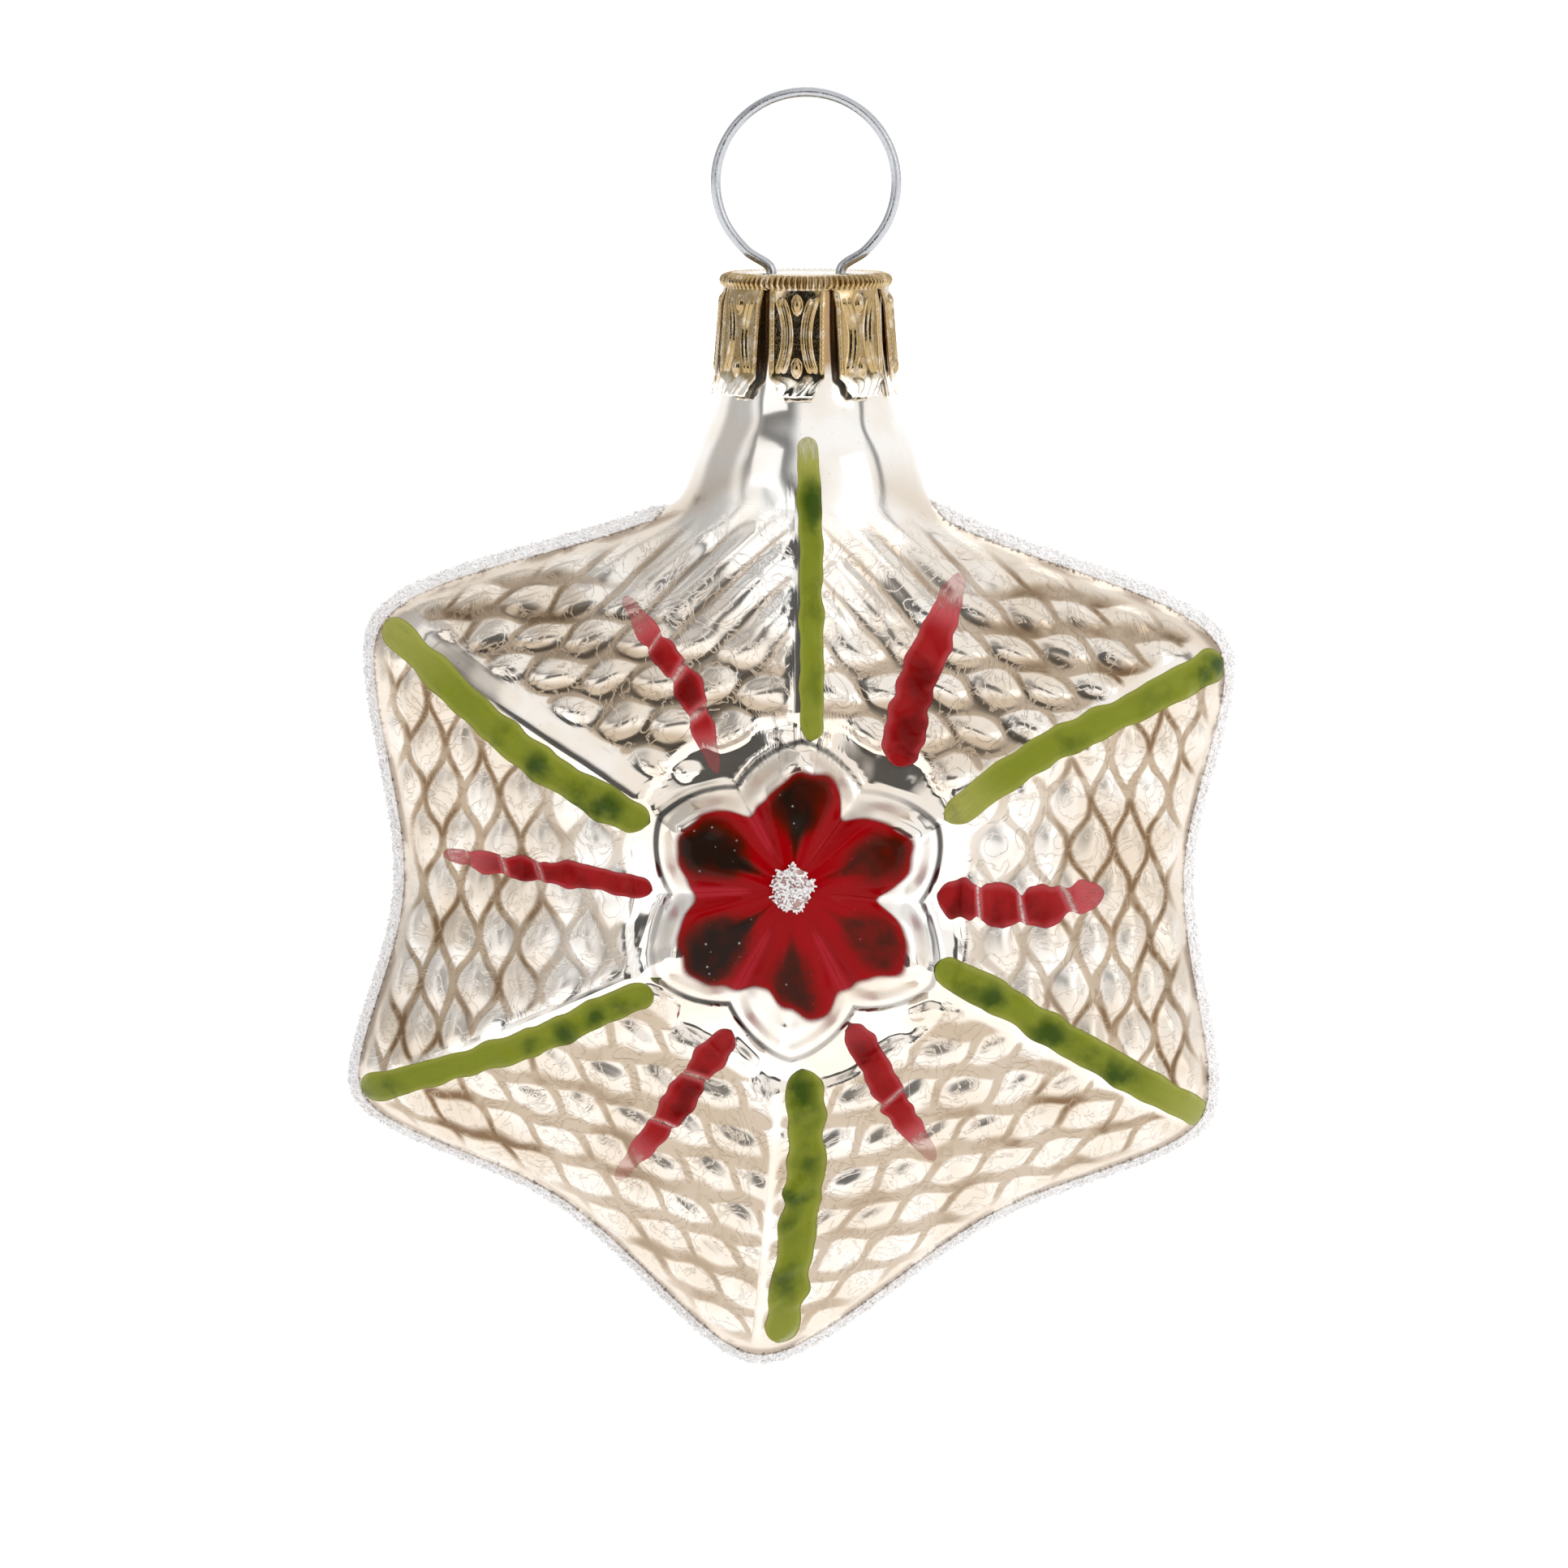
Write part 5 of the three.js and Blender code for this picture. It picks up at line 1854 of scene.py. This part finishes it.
@dataclass
class CrownCap:
    """The pressed cap: an embossed top, a gadrooned rim and eight embossed tabs."""

    top: float = CAP_TOP
    height: float = 7.4
    rim_radius: float = 5.1
    rim_height: float = 0.8
    foot_radius: float = 5.62
    sheet: float = 0.16
    tabs: int = 8
    turn: float = -6.0
    slot: float = 0.5
    taper_height: float = 1.25
    taper: float = 0.45
    gadroons: int = 11
    emboss: float = 0.17
    knurl: float = 0.21
    arcs: tuple = ((0.42, 0.86), (0.76, 1.2))
    arc_middle: float = 2.85
    beads: tuple = (0.95, 4.8)
    edge_line: float = 1.56
    tab_columns: int = 66
    slot_columns: int = 3
    weld: float = 0.02

    def tab_relief(self, across: np.ndarray, down: np.ndarray) -> np.ndarray:
        """Gives the pressed pattern's height on a tab.

        Args:
            across: Distances from the tab's middle line.
            down: Distances below the rim's foot.

        Returns:
            The heights in millimetres.
        """
        from_middle = down - self.arc_middle
        relief = np.zeros(across.shape)
        reach = smoothstep(np.abs(from_middle), 2.25, 1.95)
        for near, far in self.arcs:
            bend = near + (far - near) * (from_middle / 2.2) ** 2
            ridge = np.exp(-((np.abs(across) - bend) / 0.095) ** 2)
            relief = np.maximum(relief, self.emboss * ridge * reach)
        for at in self.beads:
            bead = ((across / 0.3) ** 2 + ((down - at) / 0.52) ** 2)
            relief = np.maximum(relief, 1.5 * self.emboss * np.sqrt(np.clip(1.0 - bead, 0.0, 1.0)))
        edge = np.exp(-((np.abs(across) - self.edge_line) / 0.08) ** 2) * smoothstep(down, 5.3, 4.9)
        beading = 0.75 + 0.25 * np.sin(down * 2.0 * math.pi / 0.32)
        return np.maximum(relief, 0.6 * self.emboss * edge * beading)

    def sector(self) -> bpy.types.Object:
        """Makes one eighth of the cap: a wedge of the top, its rim and one tab.

        Returns:
            The sector, turned about the neck's axis to the first tab.
        """
        half_angle = math.pi / self.tabs
        tab_columns, slot_columns = self.tab_columns, self.slot_columns
        tab_half = half_angle * self.rim_radius - self.slot / 2.0
        edge_share = tab_half / (half_angle * self.rim_radius)
        shares = np.concatenate([np.linspace(-1.0, -edge_share, slot_columns + 1)[:-1],
                                 np.linspace(-edge_share, edge_share, tab_columns + 1),
                                 np.linspace(edge_share, 1.0, slot_columns + 1)[1:]])
        wave = np.linspace(0.0, 1.0, 8)[1:]
        disc = np.linspace(0.02, self.rim_radius - 0.45, 16)
        ring_radius = np.concatenate([disc, self.rim_radius - 0.45 + 0.5 * np.sin(wave * math.pi * 0.72)])
        ring_height = np.concatenate([np.zeros(16), -self.rim_height * (1.0 - np.cos(wave * math.pi)) / 2.0])
        ring_radius[-1] = self.rim_radius
        angle = shares[None, :] * half_angle
        rows = ring_radius[:, None] * np.ones(shares.shape)
        emboss = 0.06 * np.sin(disc / self.rim_radius * math.pi * 7.0) * smoothstep(disc, 2.6, 3.4)
        heights = ring_height[:, None] + np.concatenate([emboss, np.zeros(7)])[:, None]
        descent = np.linspace(0.0, 1.0, len(ring_radius))[:, None]
        slant = shares[None, :] * self.gadroons / 2.0 + 0.35 * descent
        on_rim = np.concatenate([np.zeros(15), [0.3], np.sin(wave * math.pi) ** 0.7])
        on_rim[-1] = 0.0
        knurl = self.knurl * on_rim[:, None] * np.cos(2.0 * math.pi * slant)
        rows = rows + knurl
        heights = heights + 0.5 * knurl
        upper = np.stack([rows * np.sin(angle), -rows * np.cos(angle), self.top + heights], axis=-1)
        tab_share = shares[slot_columns:slot_columns + tab_columns + 1] / edge_share
        down = np.linspace(0.0, self.height - self.rim_height, 60)
        lower = self.tab_points(tab_share, down[1:], tab_half, half_angle * edge_share)
        points = np.concatenate([upper.reshape(-1, 3), lower.reshape(-1, 3)])
        index = np.arange(upper[..., 0].size).reshape(upper.shape[:2])
        tab_index = upper[..., 0].size + np.arange(lower[..., 0].size).reshape(lower.shape[:2])
        tab_index = np.concatenate([index[-1:, slot_columns:slot_columns + tab_columns + 1], tab_index])
        piece = make_piece("foil_cap", points, grid_faces(index) + grid_faces(tab_index))
        low = 0.5 * smoothstep(down[1:], 5.0, 6.2)[:, None] * np.ones(tab_share.shape)
        set_values(piece, worn=np.concatenate([np.zeros(index.size), low.ravel()]))
        return piece

    def tab_points(self, share: np.ndarray, down: np.ndarray, half: float, half_angle: float) -> np.ndarray:
        """Places one tab's points.

        Args:
            share: Places across the tab, from -1 to 1.
            down: Distances below the rim's foot.
            half: Half the tab's width.
            half_angle: The angle at which its edge leaves the rim.

        Returns:
            The points, by row and column.
        """
        full = self.height - self.rim_height
        narrow = self.taper * smoothstep(down, full - self.taper_height, full - self.taper_height * 0.55)
        narrow = narrow + 0.3 * smoothstep(down, full - 0.5, full)
        across = share[None, :] * (half - narrow)[:, None]
        radius = self.rim_radius + (self.foot_radius - self.rim_radius) * (down / full)[:, None]
        radius = radius + 0.22 * smoothstep(down, full - 1.5, full)[:, None]
        curve = radius * (1.0 - np.cos(share * half_angle))[None, :]
        flatten = 1.0 - 0.72 * smoothstep(down, 0.0, 1.2)[:, None]
        relief = self.tab_relief(across, down[:, None] * np.ones(across.shape))
        relief = relief * smoothstep(down, 0.0, 0.4)[:, None]
        bend = 2.0 * np.sin(down[:, None] * 3.0 + across)
        crinkle = 0.035 * np.sin(across * 5.0 + bend) * smoothstep(down, 5.2, 5.8)[:, None]
        out = radius - curve * flatten + relief + crinkle
        return np.stack([across * (np.sin(half_angle) * self.rim_radius / half), -out,
                         (self.top - self.rim_height - down)[:, None] * np.ones(across.shape)], axis=-1)

    def ring_tree(self) -> bpy.types.NodeTree:
        """Builds the geometry tree that repeats the sector round the neck and gives it its sheet.

        Returns:
            The tree.
        """
        sizes = (("Count", "Int"), ("First Turn", "Float"))
        sheet, given, result = new_geometry_tree("ring_of_tabs", *sizes)
        spots = sheet.add("GeometryNodePoints")
        sheet.feed(spots.inputs["Count"], given.outputs["Count"])
        step = sheet.math("DIVIDE", 2.0 * math.pi, given.outputs["Count"])
        number = sheet.add("GeometryNodeInputIndex").outputs["Index"]
        turn = sheet.line(number, step, given.outputs["First Turn"])
        spin = sheet.add("ShaderNodeCombineXYZ")
        sheet.feed(spin.inputs["Z"], turn)
        put = sheet.add("GeometryNodeInstanceOnPoints")
        sheet.feed(put.inputs["Points"], spots.outputs[0])
        sheet.feed(put.inputs["Instance"], given.outputs["Geometry"])
        sheet.feed(put.inputs["Rotation"], spin.outputs["Vector"])
        real = sheet.add("GeometryNodeRealizeInstances")
        sheet.feed(real.inputs["Geometry"], put.outputs["Instances"])
        merge = sheet.add("GeometryNodeMergeByDistance")
        sheet.feed(merge.inputs["Geometry"], real.outputs["Geometry"])
        merge.inputs["Distance"].default_value = self.weld * MM
        finish_tree(sheet, result, merge.outputs["Geometry"], given.outputs["Material"])
        return sheet.tree

    def build(self, material: bpy.types.Material) -> None:
        """Makes the cap.

        Args:
            material: The foil.
        """
        piece = run_tree(self.sector(), self.ring_tree(), Count=self.tabs, First_Turn=math.radians(self.turn),
                         Material=material)
        thicken = piece.modifiers.new("sheet", "SOLIDIFY")
        thicken.thickness = self.sheet * MM
        thicken.offset = -1.0
        baked(piece)
        piece.data.shade_smooth()
        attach(piece, "cap")
        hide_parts("crown_cap")
        LOG.info("%s", piece.name)


@dataclass
class WireHanger:
    """The sprung loop and its two legs, bent from one wire."""

    radius: float = 0.325
    loop_radius: float = 5.55
    leg_offset: float = 2.2
    leg_end: float = 3.125
    leg_length: float = 12.0
    opening: float = 18.0
    loop_points: int = 12
    steps: int = 16
    sides: int = 20

    def knots(self) -> np.ndarray:
        """Gives the points that the wire's middle line passes through.

        Returns:
            The points in millimetres.
        """
        foot, end = CAP_TOP - self.leg_length, self.leg_end
        right = [(end, foot), ((end + 2.0 * self.leg_offset) / 3.0, CAP_TOP - self.leg_length / 3.0),
                 (self.leg_offset, CAP_TOP - 2.0 * self.radius), (self.leg_offset, CAP_TOP + self.radius)]
        start = math.asin(self.leg_offset / self.loop_radius) + math.radians(self.opening)
        turn = np.linspace(start, 2.0 * math.pi - start, self.loop_points + 1)
        centre = CAP_TOP + self.loop_radius
        loop = [(self.loop_radius * math.sin(t), centre - self.loop_radius * math.cos(t)) for t in turn]
        left = [(-x, z) for x, z in reversed(right)]
        return np.array([(x, 0.0, z) for x, z in right + loop + left])

    def line(self, steps: int) -> np.ndarray:
        """Draws the centripetal Catmull-Rom line through the knots.

        Args:
            steps: How many points each stretch between knots has.

        Returns:
            Points along the wire.
        """
        knots = self.knots()
        ends = (2.0 * knots[0] - knots[1], 2.0 * knots[-1] - knots[-2])
        knots = np.concatenate([ends[:1], knots, ends[1:]])
        found = []
        for p0, p1, p2, p3 in zip(knots, knots[1:], knots[2:], knots[3:]):
            t1 = np.linalg.norm(p1 - p0) ** 0.5
            t2 = t1 + np.linalg.norm(p2 - p1) ** 0.5
            t3 = t2 + np.linalg.norm(p3 - p2) ** 0.5
            t = np.linspace(t1, t2, steps, endpoint=False)[:, None]
            a1, a2 = (t1 - t) / t1 * p0 + t / t1 * p1, (t2 - t) / (t2 - t1) * p1 + (t - t1) / (t2 - t1) * p2
            a3 = (t3 - t) / (t3 - t2) * p2 + (t - t2) / (t3 - t2) * p3
            b1, b2 = (t2 - t) / t2 * a1 + t / t2 * a2, (t3 - t) / (t3 - t1) * a2 + (t - t1) / (t3 - t1) * a3
            found.append((t2 - t) / (t2 - t1) * b1 + (t - t1) / (t2 - t1) * b2)
        return np.concatenate(found + [knots[-2:-1]])

    def tree(self) -> bpy.types.NodeTree:
        """Builds the geometry tree that sweeps the wire along its line.

        Returns:
            The tree.
        """
        sizes = (("Radius", "Float"), ("Sides", "Int"))
        sheet, given, result = new_geometry_tree("drawn_wire", *sizes)
        curve = sheet.add("GeometryNodeMeshToCurve")
        sheet.feed(curve.inputs["Mesh"], given.outputs["Geometry"])
        section = sheet.add("GeometryNodeCurvePrimitiveCircle")
        sheet.feed(section.inputs["Radius"], given.outputs["Radius"])
        sheet.feed(section.inputs["Resolution"], given.outputs["Sides"])
        sweep = sheet.add("GeometryNodeCurveToMesh")
        sheet.feed(sweep.inputs["Curve"], curve.outputs["Curve"])
        sheet.feed(sweep.inputs["Profile Curve"], section.outputs["Curve"])
        sweep.inputs["Fill Caps"].default_value = True
        finish_tree(sheet, result, sweep.outputs["Mesh"], given.outputs["Material"])
        return sheet.tree

    def build(self, material: bpy.types.Material) -> None:
        """Makes the hanger.

        Args:
            material: The steel.
        """
        points = self.line(self.steps)
        mesh = bpy.data.meshes.new("wire_loop")
        edges = [(number, number + 1) for number in range(len(points) - 1)]
        mesh.from_pydata(in_frame(points).tolist(), edges, [])
        piece = bpy.data.objects.new("wire_loop", mesh)
        bpy.context.scene.collection.objects.link(piece)
        run_tree(piece, self.tree(), Radius=self.radius * MM, Sides=self.sides, Material=material)
        piece.data.shade_smooth()
        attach(piece, "hanger")
        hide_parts("wire_hanger")
        LOG.info("%s", piece.name)


# Stage


@dataclass
class Studio:
    """The pale floor, the white tent, the lamps and the camera.

    `dark` and `shade` are patches of the tent, each with a band of azimuth in radians and one of height.
    A band has its centre, half its width and the width of its soft edge. `wing` and `gaps` are bands of
    azimuth. A lamp has its name, place, side and power.
    """

    floor_height: float = -0.104
    view_height: float = -0.04228
    view_side: float = -0.00135
    distance: float = 0.9
    elevation: float = 4.5
    frame_width: float = 0.0966
    tent: float = 1.22
    dark: tuple = ((-0.12, 0.36, 0.08), (0.11, 0.29, 0.08))
    shade: tuple = ((-0.74, 0.46, 0.2), (0.5, 0.29, 0.16))
    wing: tuple = (-1.8, 0.4, 0.15)
    gaps: tuple = ((-1.15, 0.05), (-0.75, 0.03), (1.45, 0.06))
    lamps: tuple = (("left_box", (-0.45, -0.45, 0.25), 0.35, 0.45),
                    ("right_box", (0.5, -0.35, 0.15), 0.3, 0.3),
                    ("back_box", (0.1, 0.5, 0.35), 0.4, 0.3))

    def floor(self) -> None:
        """Lays the floor, which shows white and keeps the object's shadow."""
        bpy.ops.mesh.primitive_plane_add(size=6.0, location=(0.0, 0.0, self.floor_height))
        floor = bpy.context.object
        floor.name = "studio_floor"
        sheet, shader, material = start_material("floor_paper")
        shader.inputs["Base Color"].default_value = (0.88, 0.88, 0.88, 1.0)
        shader.inputs["Roughness"].default_value = 0.9
        path = sheet.add("ShaderNodeLightPath")
        seen = sheet.math("MAXIMUM", path.outputs["Is Camera Ray"], path.outputs["Is Glossy Ray"])
        sheet.feed(shader.inputs["Emission Color"], (1.0, 1.0, 1.0, 1.0))
        sheet.feed(shader.inputs["Emission Strength"], sheet.times(seen, 0.62))
        floor.data.materials.append(material)

    def world(self) -> None:
        """Makes the tent: white to the camera, and with darker gaps between its lamps for gloss."""
        world = bpy.data.worlds.new("white_tent")
        bpy.context.scene.world = world
        world.use_nodes = True
        sheet = NodeSheet(world.node_tree)
        background = world.node_tree.nodes["Background"]
        split = sheet.add("ShaderNodeSeparateXYZ")
        sheet.feed(split.inputs[0], sheet.add("ShaderNodeTexCoord").outputs["Generated"])
        x, y, z = split.outputs
        azimuth = sheet.math("ARCTAN2", x, sheet.times(y, -1.0))
        dark, shade = (sheet.times(self.band(sheet, azimuth, *sideways), self.band(sheet, z, *upwards))
                       for sideways, upwards in (self.dark, self.shade))
        dark = sheet.math("MAXIMUM", dark, sheet.times(shade, 0.88))
        wing = sheet.times(self.band(sheet, azimuth, *self.wing), 0.5)
        dark = sheet.math("MAXIMUM", dark, wing)
        for centre, half in self.gaps:
            gap = sheet.times(self.band(sheet, azimuth, centre, half, 0.04), 0.8)
            dark = sheet.math("MAXIMUM", dark, gap)
        level = sheet.math("SUBTRACT", self.tent, sheet.times(dark, self.tent * 0.97))
        path = sheet.add("ShaderNodeLightPath")
        seen = path.outputs["Is Camera Ray"]
        strength = sheet.math("MAXIMUM", seen, level)
        sheet.feed(background.inputs["Color"], (1.0, 1.0, 1.0, 1.0))
        sheet.feed(background.inputs["Strength"], strength)

    @staticmethod
    def band(sheet: NodeSheet, value: object, centre: float, half: float,
             soft: float) -> bpy.types.NodeSocket:
        """Marks where a value lies near a centre.

        Args:
            sheet: The world's sheet.
            value: The value's socket.
            centre: The middle of the band.
            half: Half its width.
            soft: The width of its soft edge.

        Returns:
            1 inside the band, 0 outside.
        """
        off = sheet.math("ABSOLUTE", sheet.math("SUBTRACT", value, centre))
        return sheet.ease(off, half - soft, half + soft, 1.0, 0.0)

    def lamp(self, name: str, place: tuple[float, float, float], size: float, power: float) -> None:
        """Hangs a soft square lamp that looks at the star.

        Args:
            name: The lamp's name.
            place: Where it hangs, in metres.
            size: Its side in metres.
            power: Its power in watts.
        """
        data = bpy.data.lights.new(name, "AREA")
        data.size = size
        data.energy = power
        lamp = bpy.data.objects.new(name, data)
        lamp.location = place
        towards = Vector((self.view_side, 0.0, self.view_height)) - lamp.location
        lamp.rotation_euler = towards.to_track_quat("-Z", "Y").to_euler()
        bpy.context.scene.collection.objects.link(lamp)

    def camera(self) -> None:
        """Places the long-lens camera."""
        data = bpy.data.cameras.new("camera")
        data.sensor_width = 36.0
        data.lens = data.sensor_width * self.distance / self.frame_width
        data.clip_start = 0.01
        camera = bpy.data.objects.new("camera", data)
        tilt = math.radians(self.elevation)
        target = Vector((self.view_side, 0.0, self.view_height))
        camera.location = target + self.distance * Vector((0.0, -math.cos(tilt), math.sin(tilt)))
        camera.rotation_euler = (target - camera.location).to_track_quat("-Z", "Y").to_euler()
        bpy.context.scene.collection.objects.link(camera)
        bpy.context.scene.camera = camera

    def build(self) -> None:
        """Sets up the whole stage."""
        bpy.context.scene.view_settings.view_transform = "Standard"
        self.camera()
        self.floor()
        self.world()
        for name, place, size, power in self.lamps:
            self.lamp(name, place, size, power)


def main() -> None:
    """Builds the ornament and its stage, piece by piece."""
    logging.basicConfig(level=logging.INFO, format="%(name)s: %(message)s")
    Studio().build()
    mottle = mottle_group()
    star = GlassStar()
    glass = star.build(SilveredGlass().make(mottle))
    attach(glass, "glass")
    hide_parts("glass_star")
    LOG.info("%s", glass.name)
    face = GlassFace(glass, Side.FRONT)
    glitter = GlassGlitter().make(mottle)
    green = BrushedPaint("green_paint", thin=(0.42, 0.41, 0.10), body=(0.22, 0.25, 0.02),
                         deep=(0.04, 0.075, 0.004)).make(mottle)
    red = BrushedPaint("red_paint", thin=(0.58, 0.11, 0.12), body=(0.34, 0.007, 0.008),
                       deep=(0.16, 0.001, 0.001)).make(mottle)
    BrushWork("green", GREEN_STROKES, taper=0.15).build(face, star.form, green)
    BrushWork("red", RED_STROKES, taper=0.5).build(face, star.form, red)
    LacqueredPetals().build(face, PetalLacquer().make(mottle))
    CentreDab().build(face, glitter)
    EdgeGlitter().build(star.form, glitter)
    CrownCap().build(BrassFoil().make(mottle))
    WireHanger().build(DrawnWire().make(mottle))


if __name__ == "__main__":
    main()
